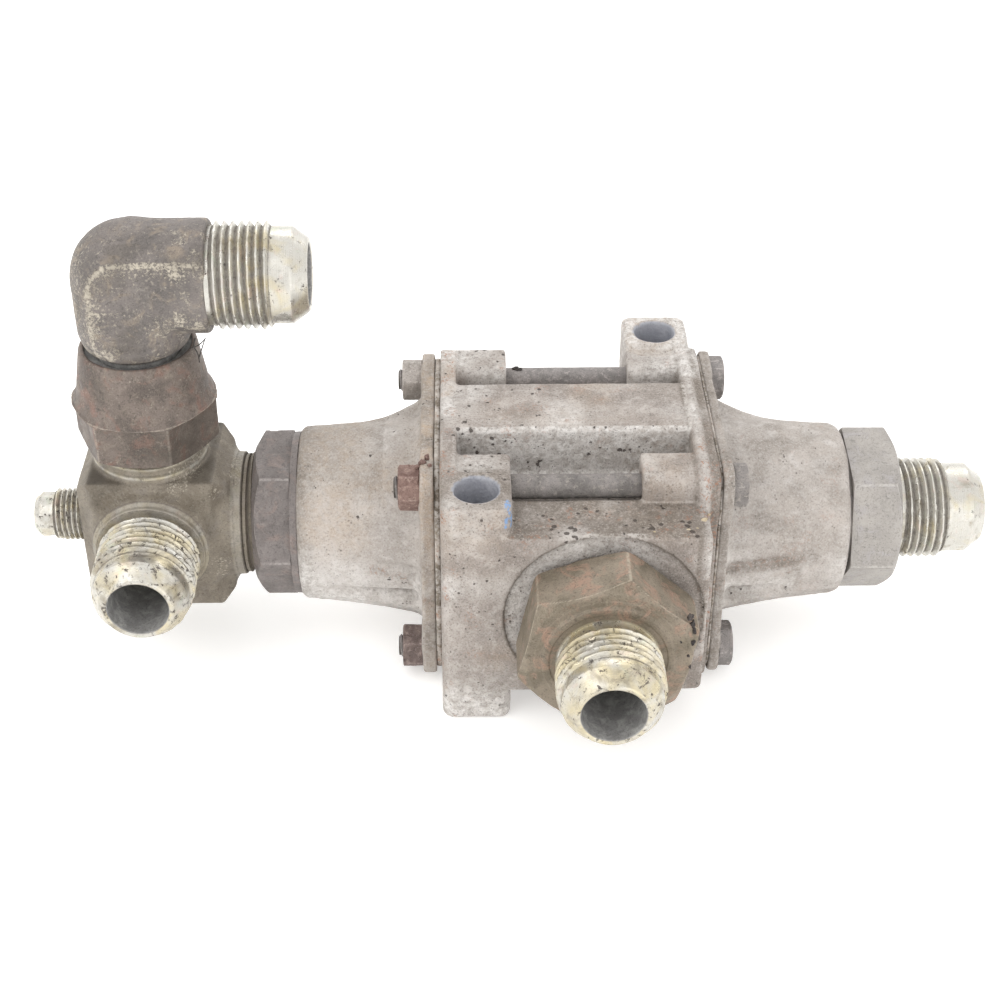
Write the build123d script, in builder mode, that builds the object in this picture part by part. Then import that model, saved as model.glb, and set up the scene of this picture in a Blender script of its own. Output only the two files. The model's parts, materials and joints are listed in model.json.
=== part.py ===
from build123d import *
import os

os.makedirs("parts", exist_ok=True)

# Frame: millimetres, +Z up. The origin is the middle of the two mounting holes, on the plane of
# the two column feet. +X runs along the shuttle bore towards the right-hand port, and the front
# port points along -Y.

# Central housing
AXIS_Z = 34.2  # height of the shuttle bore above the feet
BODY_LEFT = 34.7  # distance of the left flange face from the mounting holes' middle
BODY_RIGHT = 36.4  # the same for the right flange face
FLANGE = 68.4
FLANGE_R = 8.0
RIB_W = 23.2
CORE_HALF = 20.4
BOSS_END = 16.7
BOSS = 13.6
BORE_R = 17.0
COLUMN_IN = 30.1
COLUMN_OUT = 47.2
HOLE_X = 25.5
HOLE_Y = 38.4
HOLE_R = 5.5
FRONT_Y = -47.5
FRONT_X = 6.85
FRONT_TOP = 25.5
FRONT_BOTTOM = 24.4
FRONT_RIGHT = 33.2

# Tie bolts, quarter inch
BOLT_PITCH = 26.2
BOLT_R = 3.175
BOLT_HOLE_R = 3.5
BOLT_AF = 11.11

# End caps
LEFT_CAP_FACE = 36.2
RIGHT_CAP_FACE = 37.1
LEFT_FLANGE_OUT = 39.85
RIGHT_FLANGE_OUT = 39.9
LEFT_END = 72.9
RIGHT_END = 74.1
SPRING_BORE_R = 15.5
SPRING_SHOULDER = 57.35
PORT_FLOOR = 60.5
PASSAGE_R = 10.5
PORT_THREAD_R = 16.66  # 1-5/16-12, the size 16 boss thread

# Shuttle
SEAT_IN = 29.7
SEAT_R = 19.0
SEAT_BORE_R = 11.5
DISC_OUT = 23.6
DISC_IN = 21.0
LAND_IN = 17.0
STEM_R = 5.0
PLATE_IN = 42.6
PLATE_T = 2.4
WIRE_R = 0.8
SPRING_R = 12.8

# Flare fittings, 37 degree cones
T12_R = 13.49  # 1-1/16-12
T12_ROOT = 12.5
NOSE12_R = 12.3
TIP12_R = 9.1
BORE12_R = 7.9
T6_R = 7.14  # 9/16-18
T16_R = 16.6
CROSS_X = -112.5
SWIVEL_Z = 107.9
ELBOW_FLAT = 11.8
FIT = 0.06


def turned(points, origin, direction, mode=Mode.ADD):
    """Revolves (distance along, radius) points about the line from origin along direction."""
    side = (1, 0, 0) if abs(direction[1]) > 0.5 else (0, 1, 0)
    with BuildSketch(Plane(origin=origin, x_dir=direction, z_dir=side), mode=Mode.PRIVATE) as profile:
        with BuildLine():
            Polyline(*points, close=True)
        make_face()
    revolve(profile.sketch, axis=Axis(origin, direction), mode=mode)


def hexagon(origin, direction, across_flats, start, end, turn, face):
    """Makes a hexagonal bar between two distances from origin, chamfered to a face circle at its end."""
    side = (0, 0, 1) if abs(direction[2]) < 0.5 else (1, 0, 0)
    base = Plane(origin=origin, x_dir=side, z_dir=direction)
    with BuildSketch(base.offset(start), mode=Mode.PRIVATE) as outline:
        RegularPolygon(across_flats / 2, 6, major_radius=False, rotation=turn)
    extrude(outline.sketch, amount=end - start)
    corner = across_flats / 3**0.5 + 0.2
    slope = end - (corner - face) * 0.577
    profile = [
        (start, 0),
        (start, corner - 0.7),
        (start + 0.5, corner),
        (slope, corner),
        (end, face),
        (end, 0),
    ]
    turned(profile, origin, direction, Mode.INTERSECT)


def flare12(base, thread_from, thread_to, nose_r, tip):
    """Half section of a size 12 male flare end: relief, thread, nose and 37 degree cone."""
    return [
        (base, 0),
        (base, T12_ROOT),
        (thread_from, T12_ROOT),
        (thread_from + 0.6, T12_R),
        (thread_to - 0.6, T12_R),
        (thread_to, nose_r),
        (tip - (nose_r - TIP12_R) * 1.327, nose_r),
        (tip, TIP12_R),
        (tip, 0),
    ]


def bore(start, tip, radius):
    """Half section of a flow passage with a small countersink at its mouth."""
    return [(start, 0), (start, radius), (tip - 0.4, radius), (tip, radius + 0.35), (tip, 0)]


def save(builder, name):
    """Labels the finished part and writes it."""
    builder.part.label = name
    export_step(builder.part, "parts/" + name + ".step")


# ---------------------------------------------------------------- central housing
FLANGE_IN = 30.4
FACES = ((-1, BODY_LEFT), (1, BODY_RIGHT))
FRONT_PLANE = Plane.XZ.offset(-FRONT_Y)

with BuildPart() as valve_body:
    # Mounting columns at two opposite corners, with rounded ends
    for side in (-1, 1):
        with BuildSketch(Plane.XY):
            with Locations((side * (34.6 + BOSS_END) / 2, side * (COLUMN_IN + COLUMN_OUT) / 2)):
                RectangleRounded(34.6 - BOSS_END, COLUMN_OUT - COLUMN_IN, 1.9)
        extrude(amount=FLANGE)
    fillet(valve_body.edges().group_by(Axis.Z)[-1], 1.4)
    fillet(valve_body.edges().group_by(Axis.Z)[0], 1.4)
    for side, face in FACES:
        with BuildSketch(Plane.YZ.offset(side * face)):
            with Locations((0, AXIS_Z)):
                RectangleRounded(FLANGE, FLANGE, FLANGE_R)
        extrude(amount=-side * (face - FLANGE_IN))
        with BuildSketch(Plane.YZ.offset(side * face)):
            with Locations((0, AXIS_Z)):
                with GridLocations(2 * BOLT_PITCH, 2 * BOLT_PITCH, 2, 2):
                    RectangleRounded(BOSS, BOSS, 3.0)
        extrude(amount=-side * (face - BOSS_END))
    # Barrel round the bore, with a flat rib above, below and behind it
    with BuildSketch(Plane.YZ.offset(1 - BODY_LEFT)):
        with Locations((0, AXIS_Z)):
            Rectangle(2 * CORE_HALF + 6, 2 * CORE_HALF)
            Rectangle(RIB_W, FLANGE)
        with Locations((FLANGE / 4, AXIS_Z)):
            Rectangle(FLANGE / 2, RIB_W)
    extrude(amount=BODY_LEFT + BODY_RIGHT - 2)
    # Square block that carries the front port
    with BuildSketch(FRONT_PLANE):
        with Locations(((FRONT_RIGHT - BOSS_END) / 2, AXIS_Z + (FRONT_TOP - FRONT_BOTTOM) / 2)):
            RectangleRounded(FRONT_RIGHT + BOSS_END, FRONT_TOP + FRONT_BOTTOM, 1.0)
    extrude(amount=FRONT_Y + 31.0)
    with BuildSketch(FRONT_PLANE.offset(-10)):
        with Locations(((FRONT_RIGHT - BOSS_END) / 2 - 1.4, AXIS_Z)):
            Rectangle(FRONT_RIGHT + BOSS_END - 2.8, 2 * CORE_HALF)
    extrude(amount=-20)
    # Shuttle bore, seat pockets, bolt holes and mounting holes
    turned([(-40, 0), (-40, BORE_R), (40, BORE_R), (40, 0)], (0, 0, AXIS_Z), (1, 0, 0), Mode.SUBTRACT)
    for side, face in FACES:
        turned(
            [(SEAT_IN, 0), (SEAT_IN, SEAT_R), (face, SEAT_R), (face, 0)],
            (0, 0, AXIS_Z),
            (side, 0, 0),
            Mode.SUBTRACT,
        )
        with BuildSketch(Plane.XY):
            with Locations((side * HOLE_X, side * HOLE_Y)):
                Circle(HOLE_R)
        extrude(amount=FLANGE, mode=Mode.SUBTRACT)
    with BuildSketch(Plane.YZ.offset(-BODY_LEFT)):
        with Locations((0, AXIS_Z)):
            with GridLocations(2 * BOLT_PITCH, 2 * BOLT_PITCH, 2, 2):
                Circle(BOLT_HOLE_R)
    extrude(amount=BODY_LEFT + BODY_RIGHT, mode=Mode.SUBTRACT)
    # Spot face, threaded port and passage at the front
    turned(
        [(46.8, 0), (46.8, 25.5), (50, 25.5), (50, 0)],
        (FRONT_X, 0, AXIS_Z),
        (0, -1, 0),
        Mode.SUBTRACT,
    )
    turned(
        [
            (10, 0),
            (10, 9.0),
            (30, 9.0),
            (30, PORT_THREAD_R),
            (45, PORT_THREAD_R),
            (45, 18.6),
            (47, 18.6),
            (47, 0),
        ],
        (FRONT_X, 0, AXIS_Z),
        (0, -1, 0),
        Mode.SUBTRACT,
    )
save(valve_body, "valve_body")

# ---------------------------------------------------------------- end caps, gaskets and seats
AXIS = (0, 0, AXIS_Z)
LEFT = (-1, 0, 0)
RIGHT = (1, 0, 0)
SIDES = (
    ("left", LEFT, -1, BODY_LEFT, LEFT_CAP_FACE, LEFT_FLANGE_OUT),
    ("right", RIGHT, 1, BODY_RIGHT, RIGHT_CAP_FACE, RIGHT_FLANGE_OUT),
)
NECKS = {
    "left": [(43.6, 25.3), (50, 24.9), (71.6, 23.6), (LEFT_END, 22.4), (LEFT_END, 0)],
    "right": [
        (44.4, 25.1),
        (50, 24.8),
        (67.0, 23.6),
        (70.0, 23.3),
        (72.4, 22.3),
        (73.7, 21.2),
        (RIGHT_END, 20.4),
        (RIGHT_END, 0),
    ],
}

for name, direction, side, face, cap_face, flange_out in SIDES:
    with BuildPart() as end_cap:
        with BuildSketch(Plane.YZ.offset(side * cap_face)):
            with Locations((0, AXIS_Z)):
                RectangleRounded(62.8, 62.8, 8.0)
                with GridLocations(2 * BOLT_PITCH, 2 * BOLT_PITCH, 2, 2):
                    RectangleRounded(BOSS, BOSS, 5.5)
        extrude(amount=side * (flange_out - cap_face))
        # Neck, with a flared root
        root = [
            (cap_face, 0),
            (cap_face, 29.2),
            (flange_out, 29.2),
            (flange_out + 0.8, 27.2),
            (flange_out + 2.2, 25.8),
        ]
        turned(root + NECKS[name], AXIS, direction)
        # Webs from the neck to the back top and front bottom bolts
        for corner, reach, width in ((1, 29.6, 15.0), (-1, 27.6, 13.0)):
            web = Plane(origin=AXIS, x_dir=RIGHT, z_dir=(0, -corner, corner))
            with BuildSketch(web.offset(-width / 2), mode=Mode.PRIVATE) as gusset:
                with BuildLine():
                    Polyline(
                        (side * cap_face, 18),
                        (side * cap_face, reach),
                        (side * (flange_out + 1.0), reach),
                        (side * (flange_out + 17.0), 23.0),
                        (side * (flange_out + 17.0), 18),
                        close=True,
                    )
                make_face()
            extrude(gusset.sketch, amount=width)
        # Spring chamber, passage, port thread and seal pocket
        end = NECKS[name][-1][0]
        hollow = [
            (30, 0),
            (30, SPRING_BORE_R),
            (SPRING_SHOULDER, SPRING_BORE_R),
            (SPRING_SHOULDER, PASSAGE_R),
            (PORT_FLOOR, PASSAGE_R),
            (PORT_FLOOR, PORT_THREAD_R),
            (end - 1.8, PORT_THREAD_R),
            (end - 1.8, 18.6),
            (end + 1, 18.6),
            (end + 1, 0),
        ]
        turned(hollow, AXIS, direction, Mode.SUBTRACT)
        with BuildSketch(Plane.YZ.offset(side * 30)):
            with Locations((0, AXIS_Z)):
                with GridLocations(2 * BOLT_PITCH, 2 * BOLT_PITCH, 2, 2):
                    Circle(BOLT_HOLE_R)
        extrude(amount=side * 20, mode=Mode.SUBTRACT)
    save(end_cap, name + "_end_cap")

    with BuildPart() as gasket:
        with BuildSketch(Plane.YZ.offset(side * face)):
            with Locations((0, AXIS_Z)):
                RectangleRounded(65.4, 65.4, 7.0)
                Circle(16.5, mode=Mode.SUBTRACT)
                with GridLocations(2 * BOLT_PITCH, 2 * BOLT_PITCH, 2, 2):
                    Circle(BOLT_HOLE_R, mode=Mode.SUBTRACT)
        extrude(amount=side * (cap_face - face))
    save(gasket, name + "_gasket")

    with BuildPart() as seat_ring:
        seat = [
            (SEAT_IN, SEAT_BORE_R + 0.8),
            (SEAT_IN, SEAT_R - 0.02),
            (face, SEAT_R - 0.02),
            (face, SEAT_BORE_R + 1.0),
            (face - 1.0, SEAT_BORE_R),
            (SEAT_IN + 0.8, SEAT_BORE_R),
        ]
        turned(seat, AXIS, direction)
    save(seat_ring, name + "_seat_ring")

    # Shuttle trim: seal disc, its retainer and the spring plate
    trims = (
        ("_seal_disc", DISC_IN, DISC_OUT, 14.5, STEM_R),
        ("_disc_retainer", DISC_OUT, DISC_OUT + 1.6, 8.5, STEM_R),
        ("_spring_plate", PLATE_IN, PLATE_IN + PLATE_T, 14.3, 4.0),
    )
    for trim, start, stop, outer, inner in trims:
        with BuildPart() as ring:
            turned(
                [
                    (start, inner + 0.02),
                    (start, outer - 0.3),
                    (start + 0.3, outer),
                    (stop - 0.3, outer),
                    (stop, outer - 0.3),
                    (stop, inner + 0.02),
                ],
                AXIS,
                direction,
            )
        save(ring, name + trim)

    spring_from = PLATE_IN + PLATE_T + WIRE_R + 0.05
    spring_length = SPRING_SHOULDER - WIRE_R - 0.05 - spring_from
    with BuildPart() as spring:
        with BuildLine() as coil:
            Helix(
                pitch=spring_length / 4.25,
                height=spring_length,
                radius=SPRING_R,
                center=(side * spring_from, 0, AXIS_Z),
                direction=direction,
            )
        with BuildSketch(Plane(origin=coil.line @ 0, z_dir=coil.line % 0)):
            Circle(WIRE_R)
        sweep(path=coil.line, is_frenet=True)
    save(spring, name + "_spring")

    with BuildPart() as seal:
        with BuildSketch(Plane.XZ):
            with Locations((side * (end - 0.9), AXIS_Z + 17.63)):
                Circle(0.87)
        revolve(axis=Axis(AXIS, RIGHT))
    save(seal, name + "_port_oring")

# ---------------------------------------------------------------- shuttle
with BuildPart() as shuttle_spool:
    tip = PLATE_IN + PLATE_T + 0.9
    stem = [
        (-tip, 0),
        (-tip, 4.0),
        (-PLATE_IN, 4.0),
        (-PLATE_IN, STEM_R),
        (PLATE_IN, STEM_R),
        (PLATE_IN, 4.0),
        (tip, 4.0),
        (tip, 0),
    ]
    turned(stem, AXIS, RIGHT)
    for direction in (LEFT, RIGHT):
        turned(
            [
                (12, 0),
                (12, STEM_R),
                (LAND_IN, 8.0),
                (LAND_IN, BORE_R - FIT),
                (DISC_IN, BORE_R - FIT),
                (DISC_IN, 0),
            ],
            AXIS,
            direction,
        )
    with BuildSketch(Plane.YZ.offset(-30)):
        with Locations((0, AXIS_Z)):
            with PolarLocations(BORE_R, 6):
                Circle(3.4)
    extrude(amount=60, mode=Mode.SUBTRACT)
save(shuttle_spool, "shuttle_spool")

# ---------------------------------------------------------------- tie bolts and nuts
TIES = (
    ("front_top", -1, 1, 0),
    ("front_bottom", -1, -1, 17),
    ("back_top", 1, 1, 35),
    ("back_bottom", 1, -1, 8),
)
for name, y_side, z_side, turn in TIES:
    foot = (0, y_side * BOLT_PITCH, AXIS_Z + z_side * BOLT_PITCH)
    with BuildPart() as tie_bolt:
        hexagon(foot, RIGHT, BOLT_AF, RIGHT_FLANGE_OUT, RIGHT_FLANGE_OUT + 3.9, turn, 5.3)
        turned([(-46.5, 0), (-46.5, 2.7), (-45.9, BOLT_R), (41, BOLT_R), (41, 0)], foot, RIGHT)
    save(tie_bolt, "tie_bolt_" + name)
    with BuildPart() as tie_nut:
        hexagon(foot, LEFT, BOLT_AF, LEFT_FLANGE_OUT, LEFT_FLANGE_OUT + 5.5, 30 - turn, 5.3)
        turned([(39, 0), (39, BOLT_R + 0.02), (46, BOLT_R + 0.02), (46, 0)], foot, LEFT, Mode.SUBTRACT)
    save(tie_nut, "tie_nut_" + name)

# ---------------------------------------------------------------- port adapters
with BuildPart() as right_adapter:
    hexagon(AXIS, RIGHT, 39.69, 74.6, 88.1, -20.5, 19.2)
    turned([(62, 0), (62, T16_R - 1), (63, T16_R), (75, T16_R), (75, 0)], AXIS, RIGHT)
    turned([(RIGHT_END, 0), (RIGHT_END, 19.3), (75, 19.3), (75, 0)], AXIS, RIGHT)
    turned(flare12(87, 90.5, 102.4, 12.2, 112.95), AXIS, RIGHT)
    turned(bore(60, 112.95, BORE12_R), AXIS, RIGHT, Mode.SUBTRACT)
save(right_adapter, "right_adapter")

FRONT = (FRONT_X, 0, AXIS_Z)
FORWARD = (0, -1, 0)
with BuildPart() as front_adapter:
    hexagon(FRONT, FORWARD, 41.28, 49.3, 63.8, -11.7, 19.6)
    turned([(31.2, 0), (31.2, T16_R - 1), (32.2, T16_R), (50, T16_R), (50, 0)], FRONT, FORWARD)
    turned([(46.85, 0), (46.85, 19.4), (49.4, 19.4), (49.4, 0)], FRONT, FORWARD)
    turned([(63, 0), (63, 15.9), (64.2, 15.9), (64.2, 0)], FRONT, FORWARD)
    turned(flare12(63, 66.9, 77.6, 12.5, 84.8), FRONT, FORWARD)
    turned(bore(30, 84.8, BORE12_R), FRONT, FORWARD, Mode.SUBTRACT)
save(front_adapter, "front_adapter")

with BuildPart() as front_port_oring:
    with BuildSketch(Plane.XY.offset(AXIS_Z)):
        with Locations((FRONT_X + 17.63, -45.95)):
            Circle(0.85)
    revolve(axis=Axis(FRONT, FORWARD))
save(front_port_oring, "front_port_oring")

with BuildPart() as left_adapter:
    hexagon(AXIS, LEFT, 39.69, 75.1, 85.1, 28, 18.4)
    spigot = [
        (62, 0),
        (62, T16_R - 1),
        (63, T16_R),
        (74.7, T16_R),
        (74.7, 19.2),
        (75.2, 19.2),
        (75.2, 0),
    ]
    turned(spigot, AXIS, LEFT)
    turned([(60, 0), (60, PASSAGE_R), (90, PASSAGE_R), (90, 0)], AXIS, LEFT, Mode.SUBTRACT)
    turned([(78.2, 0), (78.2, 16.72), (84.0, 16.72), (85.1, 17.8), (85.1, 0)], AXIS, LEFT, Mode.SUBTRACT)
save(left_adapter, "left_adapter")

with BuildPart() as left_port_washer:
    turned([(LEFT_END, 16.7), (LEFT_END, 22.3), (74.7, 22.3), (74.7, 16.7)], AXIS, LEFT)
save(left_port_washer, "left_port_washer")

# ---------------------------------------------------------------- cross fitting
CROSS = (CROSS_X, 0, AXIS_Z)
CENTRE_UP = (CROSS_X, 0, 0)
UP = (0, 0, 1)
with BuildPart() as cross_fitting:
    with BuildSketch(Plane.XY.offset(AXIS_Z - 20.2)):
        with Locations((CROSS_X + 1.15, 0)):
            Rectangle(40.1, 32.8)
    extrude(amount=40.4)
    chamfer(cross_fitting.edges().filter_by(Axis.Z), 4.6)
    chamfer(cross_fitting.edges().filter_by(Axis.Y), 3.6)
    fillet(cross_fitting.edges().filter_by(Axis.X), 1.6)
    # Threaded stub towards the valve, with its collar
    stub = [
        (-20, 0),
        (-20, 17.0),
        (-24.4, 17.0),
        (-24.4, 16.3),
        (-25.5, 16.3),
        (-26.0, T16_R),
        (-33.9, T16_R),
        (-33.9, 0),
    ]
    turned(stub, CROSS, LEFT)
    # Small port on the left, with its own cone
    small_port = [
        (18, 0),
        (18, 6.3),
        (19.6, 6.3),
        (20.0, T6_R),
        (27.6, T6_R),
        (28.1, 6.1),
        (31.8, 6.1),
        (33.4, 4.8),
        (33.4, 0),
    ]
    turned(small_port, CROSS, LEFT)
    # Size 12 ports to the front and the top
    turned([(15, 0), (15, 14.9), (18.9, 14.9), (19.3, 14.4), (19.3, 0)], CROSS, FORWARD)
    turned(flare12(19, 19.9, 35.2, 12.4, 42.7), CROSS, FORWARD)
    turned([(20, 0), (20, 15.4), (22.2, 15.4), (22.2, 14.5), (24.4, 14.5), (24.4, 0)], CROSS, UP)
    turned(flare12(24, 25.0, 36.6, 12.2, 45.7), CROSS, UP)
    # Flow passages
    turned(bore(0, 42.7, BORE12_R), CROSS, FORWARD, Mode.SUBTRACT)
    turned(bore(0, 45.7, BORE12_R), CROSS, UP, Mode.SUBTRACT)
    turned([(-7.9, 0), (-7.9, 3.8), (33.4, 3.8), (33.4, 0)], CROSS, LEFT, Mode.SUBTRACT)
    turned([(-7.9, 0), (-7.9, BORE12_R), (8, BORE12_R), (8, 0)], CROSS, LEFT, Mode.SUBTRACT)
    turned([(5, 0), (5, 10.0), (34, 10.0), (34, 0)], CROSS, RIGHT, Mode.SUBTRACT)
save(cross_fitting, "cross_fitting")

# ---------------------------------------------------------------- swivel nut and elbow
with BuildPart() as swivel_nut:
    with BuildSketch(Plane.XY.offset(60.4)):
        with Locations((CROSS_X, 0)):
            RegularPolygon(33.34 / 2, 6, major_radius=False, rotation=-4.5)
    extrude(amount=28.3)
    turned(
        [
            (60.4, 0),
            (60.4, 16.8),
            (61.7, 19.4),
            (72.4, 19.4),
            (74.4, 16.9),
            (80, 16.5),
            (87.9, 15.3),
            (88.7, 14.7),
            (88.7, 0),
        ],
        CENTRE_UP,
        UP,
        Mode.INTERSECT,
    )
    turned(
        [
            (60, 0),
            (60, 14.9),
            (60.5, 14.9),
            (61.8, T12_R + FIT),
            (80.6, T12_R + FIT),
            (80.6, 11.15),
            (83.25, 11.15),
            (83.25, 11.9),
            (84.75, 11.9),
            (84.75, 11.15),
            (87.2, 11.15),
            (87.2, 13.9),
            (89, 13.9),
            (89, 0),
        ],
        CENTRE_UP,
        UP,
        Mode.SUBTRACT,
    )
save(swivel_nut, "swivel_nut")

with BuildPart() as nut_retaining_wire:
    with BuildSketch(Plane.XZ):
        with Locations((CROSS_X + 11.15, 84.0)):
            Circle(0.6)
    revolve(axis=Axis(CENTRE_UP, UP))
save(nut_retaining_wire, "nut_retaining_wire")

BEND = (CROSS_X, 0, SWIVEL_Z)
with BuildPart() as elbow_fitting:
    with Locations(BEND):
        Sphere(14.8)
    turned([(89.9, 0), (89.9, 13.4), (94.5, 14.8), (SWIVEL_Z, 14.8), (SWIVEL_Z, 0)], CENTRE_UP, UP)
    turned([(0, 0), (0, 14.8), (19.9, 14.8), (20.6, 14.1), (20.6, 0)], BEND, RIGHT)
    # Wrench flats at the front and the back
    with BuildSketch(Plane.XZ, mode=Mode.PRIVATE) as slab:
        with Locations((CROSS_X, 100)):
            Rectangle(80, 60)
    extrude(slab.sketch, amount=ELBOW_FLAT, both=True, mode=Mode.INTERSECT)
    turned([(89.9, 0), (89.9, 13.4), (92.6, 14.2), (95.6, 11.8), (95.6, 0)], CENTRE_UP, UP)
    turned(flare12(20, 21.8, 36.4, 12.2, 45.65), BEND, RIGHT)
    # Tail inside the swivel nut, with the flared seat at its foot
    turned(
        [(75.85, 0), (75.85, 13.0), (76.05, 13.2), (80.5, 13.2), (80.5, 11.05), (90.2, 11.05), (90.2, 0)],
        CENTRE_UP,
        UP,
    )
    turned(
        [(83.25, 10.4), (83.25, 11.3), (84.75, 11.3), (84.75, 10.4)],
        CENTRE_UP,
        UP,
        Mode.SUBTRACT,
    )
    turned([(75.8, 0), (75.8, 12.33), (79.9, 9.2), (80.2, 9.2), (80.2, 0)], CENTRE_UP, UP, Mode.SUBTRACT)
    turned([(79, 0), (79, BORE12_R), (SWIVEL_Z, BORE12_R), (SWIVEL_Z, 0)], CENTRE_UP, UP, Mode.SUBTRACT)
    turned(bore(-7.0, 45.65, BORE12_R), BEND, RIGHT, Mode.SUBTRACT)
save(elbow_fitting, "elbow_fitting")
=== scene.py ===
import json
import math

import bpy
import numpy as np
from mathutils import Matrix, Vector


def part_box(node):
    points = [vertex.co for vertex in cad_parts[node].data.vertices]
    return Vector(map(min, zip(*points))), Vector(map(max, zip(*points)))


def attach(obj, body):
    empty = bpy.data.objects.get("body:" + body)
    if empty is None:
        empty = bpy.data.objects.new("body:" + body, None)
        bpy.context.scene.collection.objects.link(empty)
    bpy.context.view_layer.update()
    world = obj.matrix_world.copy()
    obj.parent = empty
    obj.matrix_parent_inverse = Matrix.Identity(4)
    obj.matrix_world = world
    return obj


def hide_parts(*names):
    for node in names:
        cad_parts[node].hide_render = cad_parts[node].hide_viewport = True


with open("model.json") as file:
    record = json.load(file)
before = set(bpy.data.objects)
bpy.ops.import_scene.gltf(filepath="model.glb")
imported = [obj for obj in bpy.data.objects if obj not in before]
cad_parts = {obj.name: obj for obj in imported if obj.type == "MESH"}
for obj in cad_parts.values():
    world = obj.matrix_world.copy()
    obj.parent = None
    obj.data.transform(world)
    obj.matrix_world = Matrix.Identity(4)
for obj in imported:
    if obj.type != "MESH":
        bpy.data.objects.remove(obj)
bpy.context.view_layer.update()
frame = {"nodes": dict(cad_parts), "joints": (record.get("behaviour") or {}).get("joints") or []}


# ------------------------------------------------------------------ frame, in millimetres
def span(node):
    """Lowest and highest corner of a CAD node, in millimetres."""
    lo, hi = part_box(node)
    return np.array(lo) * 1000, np.array(hi) * 1000


def node_points(node):
    """The vertices of a CAD node, in millimetres."""
    return np.array([v.co for v in frame["nodes"][node].data.vertices]) * 1000


BODY_LO, BODY_HI = span("valve_body")
AXIS_Z = (BODY_LO[2] + BODY_HI[2]) / 2
BODY_FACE = {-1: -BODY_LO[0], 1: BODY_HI[0]}
CAP_FACE = {-1: -span("left_gasket")[0][0], 1: span("right_gasket")[1][0]}
CROSS_X = frame["joints"][1]["pos_m"][0] * 1000
SWIVEL_Z = frame["joints"][1]["pos_m"][2] * 1000
PORT_X = span("front_port_oring")[0][0] / 2 + span("front_port_oring")[1][0] / 2
LEFT_END = -span("left_end_cap")[0][0]
RIGHT_END = span("right_end_cap")[1][0]
BOLT = 26.2
BOLTS = [(y, AXIS_Z + z) for y in (-BOLT, BOLT) for z in (-BOLT, BOLT)]
BOLT_HOLE = 3.5
BOLT_FLATS = 11.11
BOLT_PAD = (6.8, 6.8)
COLUMN_X, COLUMN_Y = 25.5, 38.4
FLANGE, FLANGE_CORNER = 34.2, 8.0
THREAD_12 = 2.117
CREST = 13.6
X, Z = (1.0, 0, 0), (0, 0, 1.0)
LEFT, FORWARD = (-1.0, 0, 0), (0, -1.0, 0)
CENTRE = (0, 0, AXIS_Z)
PORT = (PORT_X, 0, AXIS_Z)
CROSS = (CROSS_X, 0, AXIS_Z)
BEND = (CROSS_X, 0, SWIVEL_Z)
ZONES = {"body": 0, "zinc": 1, "bore": 2}


# ------------------------------------------------------------------ noise and meshes
def noise3(points, size, seed=0):
    """Smooth value noise from -1 to 1 with features of about that size, in millimetres."""
    q = np.asarray(points, float) / size + 31.7 * seed
    cell = np.floor(q).astype(np.int64)
    part = q - cell
    ease = part * part * (3 - 2 * part)
    total = np.zeros(q.shape[:-1])
    for corner in range(8):
        step = np.array([corner & 1, corner >> 1 & 1, corner >> 2 & 1])
        at = (cell + step) * np.array([73856093, 19349663, 83492791])
        h = at[..., 0] ^ at[..., 1] ^ at[..., 2]
        h = ((h ^ (h >> 13)) * 1274126177) & 0x7FFFFFFF
        h = (h ^ (h >> 16)) & 0xFFFF
        total += np.prod(np.where(step, ease, 1 - ease), axis=-1) * (h / 32767.5 - 1)
    return total


def smooth_step(x, low, high):
    t = np.clip((x - low) / (high - low), 0, 1)
    return t * t * (3 - 2 * t)


def line(x, width):
    """A soft line of about that width where x is 0."""
    return np.exp(-((x / width) ** 2))


def make_mesh(name, co, quads, tris, attributes, sharp=None):
    """A mesh object from millimetre vertices, with smooth shading and float attributes."""
    faces = [quads.reshape(-1, 4)] if len(quads) else []
    loops = [f.reshape(-1) for f in faces] + [np.asarray(tris, int).reshape(-1)]
    loops = np.concatenate(loops).astype(np.int32)
    sizes = np.concatenate([np.full(len(f), 4) for f in faces] + [np.full(len(tris), 3)]).astype(np.int32)
    mesh = bpy.data.meshes.new(name)
    mesh.vertices.add(len(co))
    mesh.vertices.foreach_set("co", (np.asarray(co) * 0.001).astype(np.float32).reshape(-1))
    mesh.loops.add(len(loops))
    mesh.loops.foreach_set("vertex_index", loops)
    mesh.polygons.add(len(sizes))
    mesh.polygons.foreach_set("loop_start", (np.cumsum(sizes) - sizes).astype(np.int32))
    mesh.update(calc_edges=True)
    mesh.polygons.foreach_set("use_smooth", np.ones(len(sizes), bool))
    for key, values in attributes.items():
        layer = mesh.attributes.new(key, "FLOAT", "POINT")
        layer.data.foreach_set("value", np.asarray(values, np.float32).reshape(-1))
    mesh.validate()
    if sharp:
        mesh.set_sharp_from_angle(angle=math.radians(sharp))
    piece = bpy.data.objects.new(name, mesh)
    bpy.context.scene.collection.objects.link(piece)
    return piece


def settle(piece, body, slot, material, *nodes):
    """Puts a finished piece on its body and material, in place of the CAD nodes it stands for. The slot is
    not used.
    """
    piece.data.materials.clear()
    piece.data.materials.append(material)
    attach(piece, body)
    if nodes:
        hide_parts(*nodes)
    return piece


# ------------------------------------------------------------------ castings, as distance fields
def smin(a, b, k):
    """The smaller of two distances, blended over k."""
    h = np.maximum(k - np.abs(a - b), 0) / k
    return np.minimum(a, b) - h * h * k / 4


def smax(a, b, k):
    """The larger of two distances, blended over k."""
    return -smin(-a, -b, k)


def stretch(flat, along, r):
    """A flat shape's distance and a distance along its normal, joined with rounded edges."""
    a, b = flat + r, along + r
    return np.minimum(np.maximum(a, b), 0) + np.sqrt(np.maximum(a, 0) ** 2 + np.maximum(b, 0) ** 2) - r


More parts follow.
